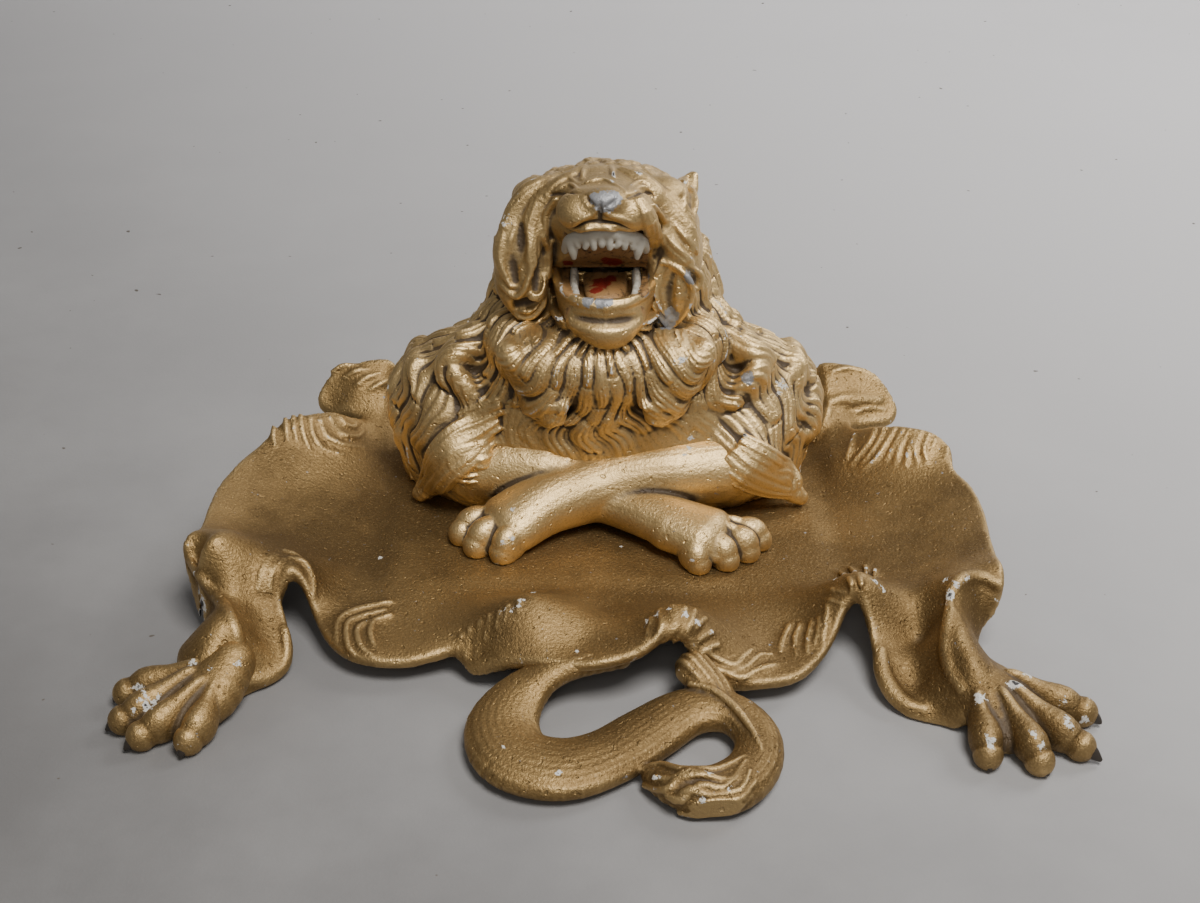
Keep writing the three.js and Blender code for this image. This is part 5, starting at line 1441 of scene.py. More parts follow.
# %% [markdown]
# ### Mouth and fitted faces
#
# The mouth is a wedge whose outline, seen from the side, is the CAD model's palate. The lid's
# knuckle has to pass between those of the bust, so it is fitted with the same values.

# %% Mouth and fits
LIP_ARCH = ((0, 23, 127.5), (16, 17, 9.5))
EVERYWHERE = slice(None)


def carve_mouth(clay):
    """Cuts the palate's outline across the whole muzzle, and arches the upper lip in front."""
    x, y, z = clay.cells()
    section = outline_distance(y[0], z[0], PALATE_SHARES * LION_SIZE)
    clay.press(EVERYWHERE, np.maximum(section[None], np.abs(x) - MOUTH_HALF), 1.2, cut=True)
    press_ball(clay, *LIP_ARCH, blend=1.5, cut=True)


def fit_head(clay):
    """Turns out the room over the pot, and fits and drills the lid's knuckle."""
    x, y, z = clay.cells()
    dome = np.sqrt((x ** 2 + (y - POT_Y) ** 2) / LID_HOLLOW_RADIUS ** 2
                   + np.maximum(z - LID_FLOOR, 0) ** 2 / LID_HOLLOW_HEIGHT ** 2)
    clay.press(EVERYWHERE, ((dome - 1) * LID_HOLLOW_RADIUS).astype(np.float32), 0.4, cut=True)
    y, z = HINGE[1:]
    outer = LID_KNUCKLE_HALF + BUST_KNUCKLE_WIDTH + 2 * SIDE_CLEARANCE
    for low, high in ((-outer, -LID_KNUCKLE_HALF), (LID_KNUCKLE_HALF, outer)):
        press_round(clay, KNUCKLE_RADIUS + 2 * TOUCH_GAP, (y, z), low, high, axis=0, cut=True)
    press_round(clay, KNUCKLE_RADIUS, (y, z), -LID_KNUCKLE_HALF, LID_KNUCKLE_HALF, axis=0)
    press_block(clay, (-LID_KNUCKLE_HALF, y - 4 * KNUCKLE_RADIUS, LID_FLOOR),
                (LID_KNUCKLE_HALF, y, z + 0.9 * KNUCKLE_RADIUS))
    drill_pin(clay)


carve_mouth(head)
fit_head(head)
head_mesh = skin(head, "head_body")

# %% [markdown]
# ### Gums, teeth and tongue
#
# The upper gum and teeth ride on the head, the lower teeth, the tongue and the lip on the jaw.

# %% Upper gum and teeth
GUM_LINE = [(-14.6, 40, 124.5, 1.4, 1.8), (-13, 34, 130.3, 1.6, 2.2), (-7, 30, 134, 1.7, 2.4),
            (0, 28.6, 136, 1.7, 2.4), (7, 30, 134, 1.7, 2.4), (13, 34, 130.3, 1.6, 2.2),
            (14.6, 40, 124.5, 1.4, 1.8)]
INCISOR_SIDES = np.arange(-9.6, 9.7, 2.75)
CANINE_ROWS = np.array([(11.6, 33.5, 131, 2.2, 2), (11.6, 33, 127.6, 1.9, 1.8), (11.3, 33.4, 124.2, 1, 1)])
gum = Clay([-18, 22, 116], [18, 48, 142], 0.4)
press_limb(gum, GUM_LINE, over=(0, 0, 1), blend=0.8)
rng = np.random.default_rng(4)
for x in INCISOR_SIDES:
    y, z = 28.8 + 0.028 * x * x, 134.6 - 0.016 * x * x
    lean = rng.normal(0, 0.2, 2)
    press_limb(gum, [(x, y, z, 1.35, 1.3), (x + lean[0], y - 0.4, z - 2.6, 1.3, 1.2),
                     (x + lean[1], y - 0.1, z - 4.2 + rng.normal(0, 0.3), 1.15, 1.05)],
               over=(0, 1, 0), blend=0.6)
for rows in (mirrored(CANINE_ROWS), CANINE_ROWS):
    press_limb(gum, rows, over=(0, 1, 0), blend=0.8)
gum_mesh = skin(gum, "upper_teeth")

# %% Jaw
JAW_ROWS = [(84, 8, 42, 66), (90, 13, 33, 68), (98, 17.5, 29, 70), (106, 19.2, 28, 70),
            (114, 19.2, 27.5, 70)]
JAW_TOP = 110
JAW_BALLS = [((0, 35, 99.5), (14.5, 12, 9), 3), ((1, 29.5, 97), (9.5, 7, 7), 2)]  # jaw and chin
UNDER_LIP_ROWS = [(-12, 28, 102.5, 2, 1.6), (0, 23.5, 103, 2.6, 1.8), (12, 28, 102.5, 2, 1.6)]
MOUTH_FLOOR_ROWS = [(0, 62, 108, 14.6, 4), (0, 42, 108, 13.8, 4), (0, 33, 108.5, 9.5, 3.5)]
TONGUE_ROWS = [(0, 60, 106.8, 8.4, 3), (0, 45, 107.2, 8, 3), (0, 36, 107.2, 6.8, 2.6), (0, 32, 106, 4, 1.8)]
TONGUE_CREASE_ROWS = [(0, 60, 110.6, 0.7, 1), (0, 38, 110.4, 0.7, 1)]
SIDE_TOOTH_DEPTHS = np.arange(33.5, 56, 3.2)
LIP_LINE = [(-18.3, 56, 110.5, 1.6, 1.6), (-17.8, 46, 110.2, 1.6, 1.6), (-14.5, 36, 109, 1.7, 1.6),
            (-7.5, 29.8, 107.8, 1.9, 1.7), (0, 28, 107.4, 2.1, 1.9)]
jaw = Clay([-26, 18, 80], [26, 66, 118], 0.45)
press_stack(jaw, JAW_ROWS, squareness=2.1, blend=1)
for centre, radii, blend in JAW_BALLS:
    press_ball(jaw, centre, radii, blend=blend)
press_limb(jaw, UNDER_LIP_ROWS, blend=2.5, cut=True)
jaw.cut_above(JAW_TOP)
press_limb(jaw, MOUTH_FLOOR_ROWS, blend=1, cut=True)
for rows in (LIP_LINE, mirrored(LIP_LINE)):
    press_limb(jaw, rows, blend=1.2)
press_limb(jaw, TONGUE_ROWS, blend=0.8)
press_limb(jaw, TONGUE_CREASE_ROWS, blend=1, cut=True)
jaw_teeth = Clay([-20, 24, 102], [20, 62, 117], 0.4)
for side in (-1, 1):
    for k, y in enumerate(SIDE_TOOTH_DEPTHS):
        x = side * (10.6 + 0.12 * min(y - 33, 8))
        press_limb(jaw_teeth, [(x, y, 106.5, 1.7, 1.4), (x, y, 109, 1.6, 1.3),
                               (x, y, 110.8 + 0.5 * (k % 2), 1.0, 0.8)], over=(0, 1, 0), blend=0.6)
jaw_mesh, jaw_teeth_mesh = skin(jaw, "jaw"), skin(jaw_teeth, "lower_teeth")

# %% [markdown]
# ## Marks of use
#
# The gold paint is rubbed off where hands and pens reach, and it has flaked at knocks, down to
# the white ground and in the middle to the dark iron. The places were read off the photograph.
# A pixel's place on the casting is the one that lies nearest to the camera behind it, and each
# point of a piece keeps how near it is to such a mark. The paint's finish turns that into ragged
# flakes.

# %% Marks
TRAY_PIECES = [hide_mesh, tail_mesh, *paw_meshes, hide_claws_mesh]
BUST_PIECES = [bust_mesh, legs_mesh, lion_claws_mesh, *mane_meshes]
JAW_PIECES = [jaw_mesh, jaw_teeth_mesh]
HEAD_PIECES = [head_mesh, gum_mesh]
ALL_PIECES = TRAY_PIECES + BUST_PIECES + JAW_PIECES + HEAD_PIECES


def points_of(piece):
    """A piece's points, in millimetres of the drawing."""
    points = np.empty(3 * len(piece.data.vertices), np.float32)
    piece.data.vertices.foreach_get("co", points)
    return points.reshape(-1, 3) / MM - SHIFT


def normals_of(piece):
    """The outward normals at a piece's points."""
    normals = np.empty(3 * len(piece.data.vertices), np.float32)
    piece.data.vertex_normals.foreach_get("vector", normals)
    return normals.reshape(-1, 3)


PIXEL_REACH, NOWHERE = 2.5, (0, 0, -1000)
clouds = {piece: points_of(piece) for piece in ALL_PIECES}
cloud = np.concatenate(list(clouds.values()))
from_eye = cloud - EYE
cloud_depth = from_eye @ FORWARD
cloud_pixels = FOCAL_PIXELS * np.column_stack([from_eye @ RIGHT, -(from_eye @ UP)]) / cloud_depth[:, None]
cloud_pixels += np.array([PHOTO_WIDTH, PHOTO_HEIGHT]) / 2


def mark(name, text, pieces=ALL_PIECES):
    """Keeps how near each point is to one of some places, given as across, down, radius in mm."""
    spots = np.array([[float(number) for number in row.split(",")] for row in text.split()])
    places = []
    for across, down, _ in spots:
        behind = np.flatnonzero(np.abs(cloud_pixels - (across, down)).max(axis=1) < PIXEL_REACH)
        places.append(cloud[behind[np.argmin(cloud_depth[behind])]] if len(behind) else NOWHERE)
    for piece in pieces:
        distance = np.full(len(clouds[piece]), 1.0)
        for place, radius in zip(places, spots[:, 2]):
            distance = np.minimum(distance, np.linalg.norm(clouds[piece] - place, axis=1) / radius)
        keep(piece, name, 1 - distance)


FLAKES = """
503,216,4.5 500,222,3.0 612,172,3.3 625,168,3.0 638,171,3.0 592,238,3.0
784,385,5.4 781,396,3.9 689,447,5.1 694,440,3.0 683,358,3.9 676,360,3.0
514,538,3.9 510,507,3.3 503,545,2.7 150,703,9.8 135,684,3.6 190,659,3.9 210,667,3.3
187,545,3.0 192,572,3.0 200,600,2.7 214,630,3.0 240,660,3.3 183,480,2.7
519,600,4.8 506,608,3.9 535,590,3.3 655,612,4.5 668,608,3.9 684,612,3.6 700,622,3.3 712,632,3.0
645,620,3.0 840,572,3.9 855,568,4.5 868,570,3.9 878,580,3.6 884,592,3.0 832,578,3.0
983,695,5.1 1010,683,4.8 1028,672,3.9 1035,733,4.5 1070,718,5.1 992,742,4.5 1042,745,3.9
942,577,4.5 948,592,3.3 958,583,3.3 970,580,3.6 1000,600,3.0 1060,700,3.6 1088,722,3.9
520,660,2.7 545,652,2.7 575,648,2.7 610,645,2.7 560,770,2.7 500,745,2.7 702,800,3.0 730,786,3.0
700,790,3.3 712,770,3.0 752,700,2.4 690,560,2.4 620,545,2.4 330,520,2.2 380,560,2.2 420,470,2.1
"""
POLISHED = """
605,198,6.0 592,197,3.5 617,195,3.5 668,323,5.0 672,316,4.0 693,275,3.5 746,380,3.5 586,299,3.0
598,300,3.0 610,299,3.0 642,262,2.4 645,276,2.4 647,290,2.4
"""
REDDENED = """
615,264,5.0 608,262,3.5 566,265,3.0 600,280,6.0 610,276,4.0 594,288,3.5
"""
mark("flakes", FLAKES)
mark("polished", POLISHED)
mark("reddened", REDDENED, [head_mesh, jaw_mesh])
print("marks kept on", len(ALL_PIECES), "pieces,", f"{time.time() - started:.0f} s")

# %% [markdown]
# ### Painted mouth
#
# The palate and the tongue were painted ochre and red. They are the points in the open mouth
# that look down from the head or up from the jaw.

# %% Painted mouth
MOUTH_LOW, MOUTH_HIGH = np.array([-16.5, 31.0, 100.0]), np.array([16.5, 66.0, 133.0])
MOUTH_EDGE, FACING = 2.0, 2.5


def in_mouth(piece, upward):
    """From 0 to 1, how far a point lies inside the mouth's box and faces up or down."""
    points = clouds[piece]
    inside = np.clip(np.minimum(points - MOUTH_LOW, MOUTH_HIGH - points).min(axis=1) / MOUTH_EDGE, 0, 1)
    return inside * np.clip(normals_of(piece)[:, 2] * upward * FACING, 0, 1)


keep(head_mesh, "mouth", in_mouth(head_mesh, -1))
keep(jaw_mesh, "mouth", in_mouth(jaw_mesh, 1))

# %% [markdown]
# ## Finishes
#
# Each effect that several finishes share is one node group: the casting's grain, the wear and
# grime on ridges and in hollows together with painted highlight and painted shade there, the flakes
# in the paint, and the mixing of the paint itself.

# %% Node helpers
class Nodes:
    """Adds nodes to one tree and links them. An input is a socket, or a plain value to set."""

    def __init__(self, tree):
        self.tree, self.across = tree, 0

    def add(self, kind, inputs=(), **settings):
        node = self.tree.nodes.new(kind)
        node.location = (self.across, 0)
        self.across += 190
        for name, value in settings.items():
            setattr(node, name, value)
        for name, value in dict(inputs).items():
            if isinstance(value, bpy.types.NodeSocket):
                self.tree.links.new(value, node.inputs[name])
            else:
                node.inputs[name].default_value = value
        return node

    def noise(self, places, size, detail=3.0, roughness=0.55):
        """Noise whose patches are about a size in metres, from 0 to 1."""
        values = {"Vector": places, "Scale": 1 / size, "Detail": detail, "Roughness": roughness}
        return self.add("ShaderNodeTexNoise", values).outputs[0]

    def ramp(self, value, low, high, to_low=0.0, to_high=1.0):
        """A smooth step of a value between low and high."""
        values = {"Value": value, "From Min": low, "From Max": high, "To Min": to_low, "To Max": to_high}
        return self.add("ShaderNodeMapRange", values, interpolation_type="SMOOTHSTEP").outputs[0]

    def math(self, operation, first, second, clamp=False):
        values = {0: first, 1: second}
        return self.add("ShaderNodeMath", values, operation=operation, use_clamp=clamp).outputs[0]

    def plus(self, first, second, clamp=False):
        return self.math("ADD", first, second, clamp)

    def times(self, first, second, clamp=False):
        return self.math("MULTIPLY", first, second, clamp)

    def bump(self, height, strength, distance):
        """Normals of a surface that is raised by a height in metres."""
        values = {"Height": height, "Strength": strength, "Distance": distance}
        return self.add("ShaderNodeBump", values).outputs[0]

    def into(self, sockets, **values):
        """Links or sets inputs or outputs by their names, with _ for a space."""
        for name, value in values.items():
            socket = sockets[name.replace("_", " ")]
            if isinstance(value, bpy.types.NodeSocket):
                self.tree.links.new(value, socket)
            else:
                socket.default_value = value

    def mix(self, factor, first, second):
        """One colour, and the other one where the factor is 1."""
        node = self.add("ShaderNodeMix", {0: factor}, data_type="RGBA")
        for k, value in ((6, first), (7, second)):
            if isinstance(value, bpy.types.NodeSocket):
                self.tree.links.new(value, node.inputs[k])
            else:
                node.inputs[k].default_value = (*value, 1)
        return node.outputs[2]

    def blend(self, factor, first, second):
        """One value, and the other one where the factor is 1."""
        return self.add("ShaderNodeMix", {0: factor, 2: first, 3: second}).outputs[0]

    def attribute(self, name):
        return self.add("ShaderNodeAttribute", attribute_name=name).outputs["Fac"]


def new_group(name, inputs, outputs):
    """An empty node group with named sockets, its nodes, and its two ends."""
    group = bpy.data.node_groups.new(name, "ShaderNodeTree")
    for label, value in inputs:
        kind = "Vector" if value is None else "Color" if isinstance(value, tuple) else "Float"
        socket = group.interface.new_socket(label, in_out="INPUT", socket_type="NodeSocket" + kind)
        if value is not None:
            socket.default_value = (*value, 1) if isinstance(value, tuple) else value
    for label, kind in outputs:
        group.interface.new_socket(label, in_out="OUTPUT", socket_type="NodeSocket" + kind)
    nodes = Nodes(group)
    return group, nodes, nodes.add("NodeGroupInput").outputs, nodes.add("NodeGroupOutput").inputs


def new_material(name):
    """An empty material: its nodes, its Principled shader and the object's own coordinates."""
    material = bpy.data.materials.new(name)
    material.use_nodes = True
    material.node_tree.nodes.clear()
    nodes = Nodes(material.node_tree)
    places = nodes.add("ShaderNodeTexCoord").outputs["Object"]
    shader = nodes.add("ShaderNodeBsdfPrincipled")
    out = nodes.add("ShaderNodeOutputMaterial", {"Surface": shader.outputs[0]})
    out.location, shader.location = (600, 300), (300, 300)
    return material, nodes, shader.inputs, places


# %% [markdown]
# ### Casting grain
#
# Iron cast in sand keeps the sand's grain, which the paint softens. It is two sizes of noise for
# the grains, sparse pits, and a slow unevenness of the whole skin, as one height for a bump.

# %% Casting grain
casting_grain, nodes, given, result = new_group(
    "casting_grain", [("Places", None), ("Grain", 1.0), ("Unevenness", 1.0)],
    [("Height", "Float")])
grains = nodes.noise(given["Places"], 0.0011, 2.0)
dust = nodes.noise(given["Places"], 0.0004, 1.0)
pits = nodes.ramp(nodes.noise(given["Places"], 0.0023, 1.0), 0.66, 0.76, 0.0, -1.2)
slow = nodes.noise(given["Places"], 0.009, 2.0)
fine = nodes.plus(nodes.plus(grains, nodes.times(dust, 0.35)), pits)
height = nodes.plus(nodes.times(fine, given["Grain"]), nodes.times(slow, given["Unevenness"]))
nodes.into(result, Height=height)

# %% [markdown]
# ### Rubbing, grime and painted light
#
# The ridges are painted brighter, partly as paint that hands have rubbed bright and partly as a
# painted highlight, and the hollows darker, partly as dust and old wax and partly as painted shade.
# Both follow the two numbers that each point of a piece keeps, broken up with noise so that neither
# looks drawn.

# %% Rubbing, grime and painted light
rub_grime_and_painted_light, nodes, given, result = new_group(
    "rub_grime_and_painted_light", [("Places", None), ("Edge", 0.0), ("Hollow", 0.0), ("Rub", 1.0), ("Grime", 1.0)],
    [("Rubbed", "Float"), ("Grime", "Float")])
# Ridges: rubbed paint and painted highlight. Hollows: grime and painted shade.
patches = nodes.noise(given["Places"], 0.012, 4.0, 0.6)
ridge = nodes.ramp(nodes.plus(given["Edge"], nodes.times(patches, 0.16)), 0.09, 0.30)
depth = nodes.math("SUBTRACT", nodes.times(patches, 0.14), given["Hollow"])
depth = nodes.math("SUBTRACT", depth, nodes.times(given["Edge"], 0.8))
nodes.into(result, Rubbed=nodes.times(ridge, given["Rub"], True),
           Grime=nodes.times(nodes.ramp(depth, 0.07, 0.34), given["Grime"], True))

# %% [markdown]
# ### Flaked paint
#
# A flake is white where the ground shows, with iron in its middle. A small one comes wherever a
# sharp ridge meets a high spot of the noise, and larger ones come at the marks.

# %% Flaked paint
flaked_paint, nodes, given, result = new_group(
    "flaked_paint", [("Places", None), ("Edge", 0.0), ("Mark", 0.0), ("Amount", 1.0)],
    [("Ground", "Float"), ("Iron", "Float")])
ragged = nodes.noise(given["Places"], 0.0026, 5.0, 0.7)
seldom = nodes.ramp(nodes.noise(given["Places"], 0.016, 2.0), 0.5, 0.68)
sharp = nodes.times(nodes.times(given["Edge"], 1.1), nodes.times(seldom, given["Amount"]))
lift = nodes.plus(nodes.plus(ragged, sharp), nodes.times(given["Mark"], 0.30))
nodes.into(result, Ground=nodes.ramp(lift, 0.73, 0.76), Iron=nodes.ramp(lift, 0.88, 0.91))

# %% [markdown]
# ### Gold paint
#
# Bronze powder in varnish, on a white ground on iron. Fresh it is a bright gold, age browns it in
# clouds, and where the powder is rubbed thin it shines most. The ridges' bright colour is partly
# rubbed gold and partly a painted highlight, and the hollows' dark colour partly grime and partly
# painted shade. From the masks the group mixes the colour, the roughness and how metallic each
# place is.

# %% Gold paint
# The rubbed colour is also a painted highlight on the ridges, and the grime colour also painted shade in the
# hollows.
GOLD, BROWNED, RUBBED_AND_HIGHLIGHT = (0.50, 0.33, 0.135), (0.185, 0.118, 0.048), (0.80, 0.57, 0.265)
GRIME_AND_SHADE, GROUND, IRON = (0.060, 0.038, 0.018), (0.60, 0.585, 0.54), (0.035, 0.033, 0.034)
gold_paint, nodes, given, result = new_group(
    "gold_paint",
    [("Places", None), ("Age", 0.0), ("Rubbed", 0.0), ("Grime", 0.0), ("Ground", 0.0), ("Iron", 0.0),
     ("Gold", GOLD), ("Browned", BROWNED)],
    [("Color", "Color"), ("Roughness", "Float"), ("Metallic", "Float")])
clouds_of_age = nodes.noise(given["Places"], 0.045, 4.0, 0.6)
speckle = nodes.noise(given["Places"], 0.0008, 2.0, 0.7)
age = nodes.plus(given["Age"], nodes.ramp(clouds_of_age, 0.35, 0.7, 0.0, 0.6), True)
colour = nodes.mix(age, given["Gold"], given["Browned"])
colour = nodes.mix(nodes.ramp(speckle, 0.52, 0.8, 0.0, 0.35), colour, RUBBED_AND_HIGHLIGHT)
colour = nodes.mix(nodes.ramp(speckle, 0.22, 0.46, 0.45, 0.0), colour, GRIME_AND_SHADE)
# Painted highlight on the ridges and painted shade in the hollows, together with rubbed gold and grime.
for label, over in (("Rubbed", RUBBED_AND_HIGHLIGHT), ("Grime", GRIME_AND_SHADE), ("Ground", GROUND), ("Iron", IRON)):
    colour = nodes.mix(given[label], colour, over)
dull = nodes.math("MAXIMUM", given["Grime"], given["Ground"])
rough = nodes.blend(given["Rubbed"], nodes.blend(age, 0.46, 0.58), 0.37)
nodes.into(result, Color=colour, Roughness=nodes.blend(dull, rough, 0.62),
           Metallic=nodes.blend(dull, 0.93, 0.05))

# %% [markdown]
# ### Painted castings
#
# The three castings have the same paint in different states. The tray's paint is browner and
# darker, most on its low, level floor. The lion's gold is cleaner and also painted brighter than
# the tray's, as painted light for the light that its front faces catch, and its locks are rubbed.
# In the mouth the palate and the tongue are ochre with rests of red, and the nose is worn down to
# grey metal.

# %% Painted castings
# The lion's gold is cleaner and painted lighter than the tray's, as painted light.
CLEAN_AND_LIT_GOLD, FLOOR_HEIGHTS = (0.68, 0.485, 0.225), (0.040, 0.016)
OCHRE, RED, PEWTER = (0.34, 0.19, 0.075), (0.22, 0.022, 0.012), (0.30, 0.30, 0.305)


def painted(name, grain, age, rub_and_highlight, grime_and_shade, gold=GOLD, floor_age=0.0, mouth=False):
    """One state of the paint. Floor age is how much more a low, level place is browned."""
    material, nodes, shader, places = new_material(name)
    edge = nodes.attribute("edge")
    wear_and_painted_light = nodes.add("ShaderNodeGroup", node_tree=rub_grime_and_painted_light).inputs
    flaked = nodes.add("ShaderNodeGroup", node_tree=flaked_paint).inputs
    paint = nodes.add("ShaderNodeGroup", node_tree=gold_paint).inputs
    surface = nodes.add("ShaderNodeGroup", node_tree=casting_grain).inputs
    made = {label: socket for node in nodes.tree.nodes if node.type == "GROUP"
            for label, socket in node.outputs.items()}
    if floor_age:
        height = nodes.add("ShaderNodeSeparateXYZ", {0: places}).outputs["Z"]
        age = nodes.ramp(height, *FLOOR_HEIGHTS, age, age + floor_age)
    # The ridges get rubbed gold with a painted highlight, the hollows grime with painted shade.
    nodes.into(wear_and_painted_light, Places=places, Edge=edge, Hollow=nodes.attribute("hollow"), Rub=rub_and_highlight, Grime=grime_and_shade)
    nodes.into(flaked, Places=places, Edge=edge, Mark=nodes.attribute("flakes"))
    nodes.into(surface, Places=places, Grain=grain)
    nodes.into(paint, Places=places, Age=age, Gold=(*gold, 1), Rubbed=made["Rubbed"], Grime=made["Grime"],
               Ground=made["Ground"], Iron=made["Iron"])
    colour, rough, metal = made["Color"], made["Roughness"], made["Metallic"]
    ragged = nodes.times(nodes.noise(places, 0.0025, 5.0, 0.7), 1.2)
    polished = nodes.ramp(nodes.plus(nodes.attribute("polished"), ragged), 0.80, 0.86)
    colour = nodes.mix(polished, colour, PEWTER)
    rough, metal = nodes.blend(polished, rough, 0.5), nodes.blend(polished, metal, 0.5)
    if mouth:
        inside = nodes.attribute("mouth")
        stain = nodes.noise(places, 0.003, 4.0, 0.65)
        paint_left = nodes.ramp(nodes.plus(inside, stain), 0.75, 1.1)
        red_left = nodes.ramp(nodes.plus(nodes.attribute("reddened"), stain), 0.75, 0.9)
        flesh = nodes.mix(nodes.ramp(stain, 0.5, 0.7), OCHRE, GRIME_AND_SHADE)
        flesh = nodes.mix(red_left, flesh, RED)
        colour = nodes.mix(paint_left, colour, flesh)
        metal = nodes.blend(paint_left, metal, 0.1)
    nodes.into(shader, Base_Color=colour, Roughness=rough, Metallic=metal,
               Normal=nodes.bump(made["Height"], 0.75, 0.00034))
    return material


tray_paint = painted("tray_paint", grain=1.25, age=0.28, rub_and_highlight=0.45, grime_and_shade=0.9, floor_age=0.35)
lion_paint = painted("lion_paint", grain=1.0, age=-0.05, rub_and_highlight=0.55, grime_and_shade=1.0, gold=CLEAN_AND_LIT_GOLD)
head_paint = painted("head_paint", grain=1.0, age=0.05, rub_and_highlight=0.5, grime_and_shade=1.0, gold=CLEAN_AND_LIT_GOLD, mouth=True)

# %% [markdown]
# ### Teeth and claws
#
# The gums and the teeth were painted white, which is now yellowed. In the hollows, between the
# teeth and at the roots, they are painted brown, partly dirt and partly painted shade. The claws
# are worn to dark iron with gold left in the hollows.

# %% Teeth and claws
IVORY, CLAW = (0.47, 0.44, 0.37), (0.055, 0.045, 0.036)


def worn_over(name, top, under, low, high, roughness, metallic=0.0):
    """A colour that is left on the ridges and gives way to another one in the hollows."""
    material, nodes, shader, places = new_material(name)
    surface = nodes.add("ShaderNodeGroup", {"Places": places}, node_tree=casting_grain)
    left = nodes.plus(nodes.attribute("hollow"), nodes.times(nodes.noise(places, 0.0016, 5.0, 0.7), 0.5))
    colour = nodes.mix(nodes.ramp(left, low, high), under, top)
    nodes.into(shader, Base_Color=colour, Roughness=roughness, Metallic=metallic,
               Normal=nodes.bump(surface.outputs["Height"], 0.6, 0.0002))
    return material


# The teeth's brown in the hollows is partly dirt and partly painted shade.
tooth_paint = worn_over("tooth_paint", IVORY, (0.19, 0.125, 0.06), 0.24, 0.46, 0.6)
claw_iron = worn_over("claw_iron", CLAW, BROWNED, 0.12, 0.28, 0.45, 0.5)

# %% [markdown]
# ### Steel and glass
#
# The pin and the screws are browned steel with turning marks, and the pot is pressed glass with a
# faint film of dried ink.

# %% Steel and glass
STEEL, RUST, CLEAR, INKED = (0.33, 0.31, 0.285), (0.13, 0.065, 0.035), (0.86, 0.93, 0.90), (0.62, 0.66, 0.68)


def browned_steel(name, axis):
    """Steel with fine rings around an axis of the object and rust in patches."""
    material, nodes, shader, places = new_material(name)
    rings = nodes.add("ShaderNodeTexWave", {"Vector": places, "Scale": 600.0, "Distortion": 1.5},
                      bands_direction=axis).outputs["Fac"]
    rust = nodes.ramp(nodes.noise(places, 0.0025, 5.0, 0.65), 0.5, 0.64)
    nodes.into(shader, Base_Color=nodes.mix(rust, STEEL, RUST), Roughness=nodes.blend(rust, 0.36, 0.75),
               Metallic=nodes.blend(rust, 1.0, 0.2), Normal=nodes.bump(rings, 0.25, 0.0001))
    return material


pin_steel, screw_steel = browned_steel("pin_steel", "X"), browned_steel("screw_steel", "Z")
pot_glass, nodes, shader, places = new_material("pot_glass")
film = nodes.ramp(nodes.noise(places, 0.006, 3.0), 0.45, 0.7)
ripple = nodes.noise(places, 0.008, 1.0)
nodes.into(shader, Base_Color=nodes.mix(film, CLEAR, INKED), Roughness=nodes.blend(film, 0.03, 0.12),
           Transmission_Weight=1.0, IOR=1.5, Normal=nodes.bump(ripple, 0.15, 0.0004))
print("finishes made:", len(bpy.data.materials), "materials,", len(bpy.data.node_groups), "groups")

# %% [markdown]
# ## Bodies, nodes and finishes
#
# Every piece rides on its body, stands for its CAD node, which is hidden, and gets its finish. The
# pin, the screws, the washers and the pot stay as the CAD model has them and get their finish.

# %% Pieces
PLACED = [
    (TRAY_PIECES, "tray_and_bust", "skin_tray", "gold_hide", tray_paint),
    (BUST_PIECES, "tray_and_bust", "lion_bust", "gold_lion", lion_paint),
    (JAW_PIECES, "tray_and_bust", "lion_bust", "gold_lion", head_paint),
    (HEAD_PIECES, "head", "head_lid", "gold_head", head_paint),
]
OWN_FINISH = {hide_claws_mesh: claw_iron, lion_claws_mesh: claw_iron, gum_mesh: tooth_paint,
              jaw_teeth_mesh: tooth_paint}
for pieces, body, node, slot, finish in PLACED:
    for piece in pieces:
        piece.data.materials.append(OWN_FINISH.get(piece, finish))
        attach(piece, body)
        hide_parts(node)
STAYING = {"hinge_pin": pin_steel, "ink_pot": pot_glass}
for name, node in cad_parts.items():
    if name not in ("skin_tray", "lion_bust", "head_lid"):
        node.data.materials.clear()
        node.data.materials.append(STAYING.get(name, screw_steel))

# %% [markdown]
# ## Floor, backdrop and light
#
# The object stands on pale grey paper that bends up behind it. Its colour is painted darker at the
# near left and lighter at the far right, a painted falloff of light. A wide soft lamp hangs overhead
# to the right, so that the gold shines on the slopes that lean to the camera, and a weak one in
# front fills the hollows.

# %% Paper
BEND_AT, BEND_RADIUS, PAPER_HALF, PAPER_NEAR, PAPER_TOP, PAPER_DROP = 0.75, 0.5, 2.2, -1.6, 2.0, 0.0003
# Painted light: the paper's colour is painted lighter across and away, at these rates.
FALLOFF = (0.50, 0.62)  # across and away, how fast the paper gets lighter
DIM, LIT, SMUDGED, SPECK = (0.078, 0.075, 0.072), (0.84, 0.83, 0.84), (0.62, 0.61, 0.60), (0.10, 0.085, 0.07)
turn = np.linspace(0, math.pi / 2, 25)
bend = np.column_stack([BEND_AT + BEND_RADIUS * np.sin(turn), BEND_RADIUS * (1 - np.cos(turn))])
profile = np.concatenate([[[PAPER_NEAR, 0.0]], bend, [[BEND_AT + BEND_RADIUS, PAPER_TOP]]])
rows = [(x, y, z - PAPER_DROP) for y, z in profile for x in (-PAPER_HALF, PAPER_HALF)]
quads = [(2 * k, 2 * k + 1, 2 * k + 3, 2 * k + 2) for k in range(len(profile) - 1)]
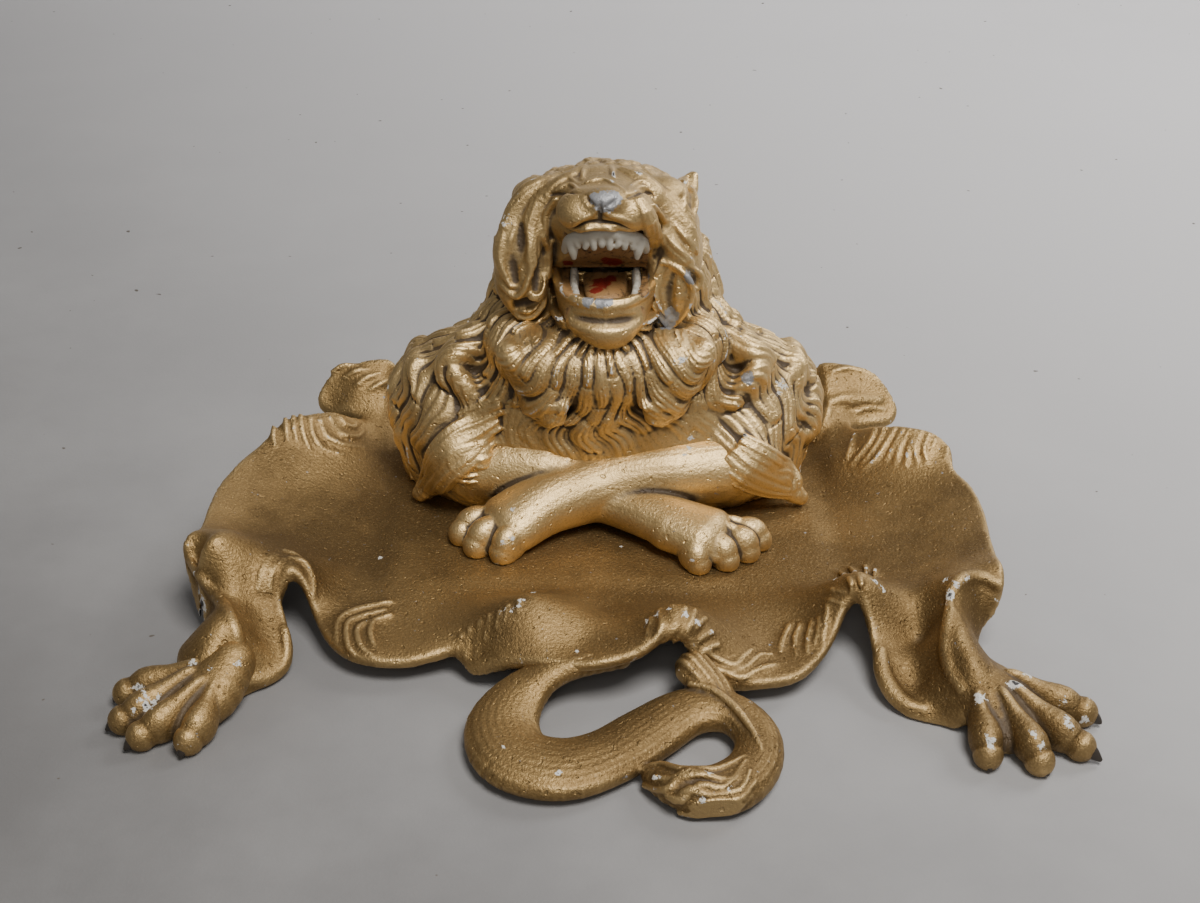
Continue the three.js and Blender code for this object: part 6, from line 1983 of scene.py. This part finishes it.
paper_mesh = bpy.data.meshes.new("paper")
paper_mesh.from_pydata(rows, [], quads)
paper_mesh.polygons.foreach_set("use_smooth", np.ones(len(quads), bool))
paper_object = bpy.data.objects.new("paper", paper_mesh)
bpy.context.scene.collection.objects.link(paper_object)
paper, nodes, shader, places = new_material("grey_paper")
smudge = nodes.noise(places, 0.16, 5.0, 0.6)
axes = nodes.add("ShaderNodeSeparateXYZ", {0: places}).outputs
away = nodes.plus(nodes.times(axes["X"], FALLOFF[0]), nodes.times(axes["Y"], FALLOFF[1]))
# Painted light: the paper's colour goes from dark at the near left to light at the far right.
painted_falloff = nodes.mix(nodes.ramp(away, -0.35, 0.75), DIM, LIT)
specks = nodes.ramp(nodes.noise(places, 0.006, 1.0), 0.785, 0.80)
cloudy = nodes.mix(nodes.ramp(smudge, 0.35, 0.7, 0.0, 0.12), painted_falloff, SMUDGED)
nodes.into(shader, Base_Color=nodes.mix(specks, cloudy, SPECK), Roughness=0.7,
           Normal=nodes.bump(nodes.noise(places, 0.0012, 2.0), 0.25, 0.0003))
paper_mesh.materials.append(paper)

# %% Lamps and room
AIM = Vector((0, 0, 0.05))
LAMPS = [  # place, size, power and colour
    ("overhead_lamp", (0.25, -0.44, 1.08), 0.45, 16, (1.0, 0.975, 0.94)),
    ("backdrop_lamp", (1.15, 0.75, 1.1), 0.6, 12, (1.0, 0.99, 0.98)),
    ("front_lamp", (-0.1, -1.2, 0.9), 0.5, 2.5, (1.0, 0.96, 0.90)),
]
for name, place, size, power, colour in LAMPS:
    lamp = bpy.data.lights.new(name, "AREA")
    lamp.size, lamp.energy, lamp.color = size, power, colour
    lamp_object = bpy.data.objects.new(name, lamp)
    lamp_object.location = place
    lamp_object.rotation_euler = (AIM - Vector(place)).to_track_quat("-Z", "Y").to_euler()
    bpy.context.scene.collection.objects.link(lamp_object)
room = bpy.data.worlds.new("room")
bpy.context.scene.world = room
room.use_nodes = True
background = room.node_tree.nodes["Background"].inputs
background["Color"].default_value, background["Strength"].default_value = (0.60, 0.60, 0.61, 1), 0.27
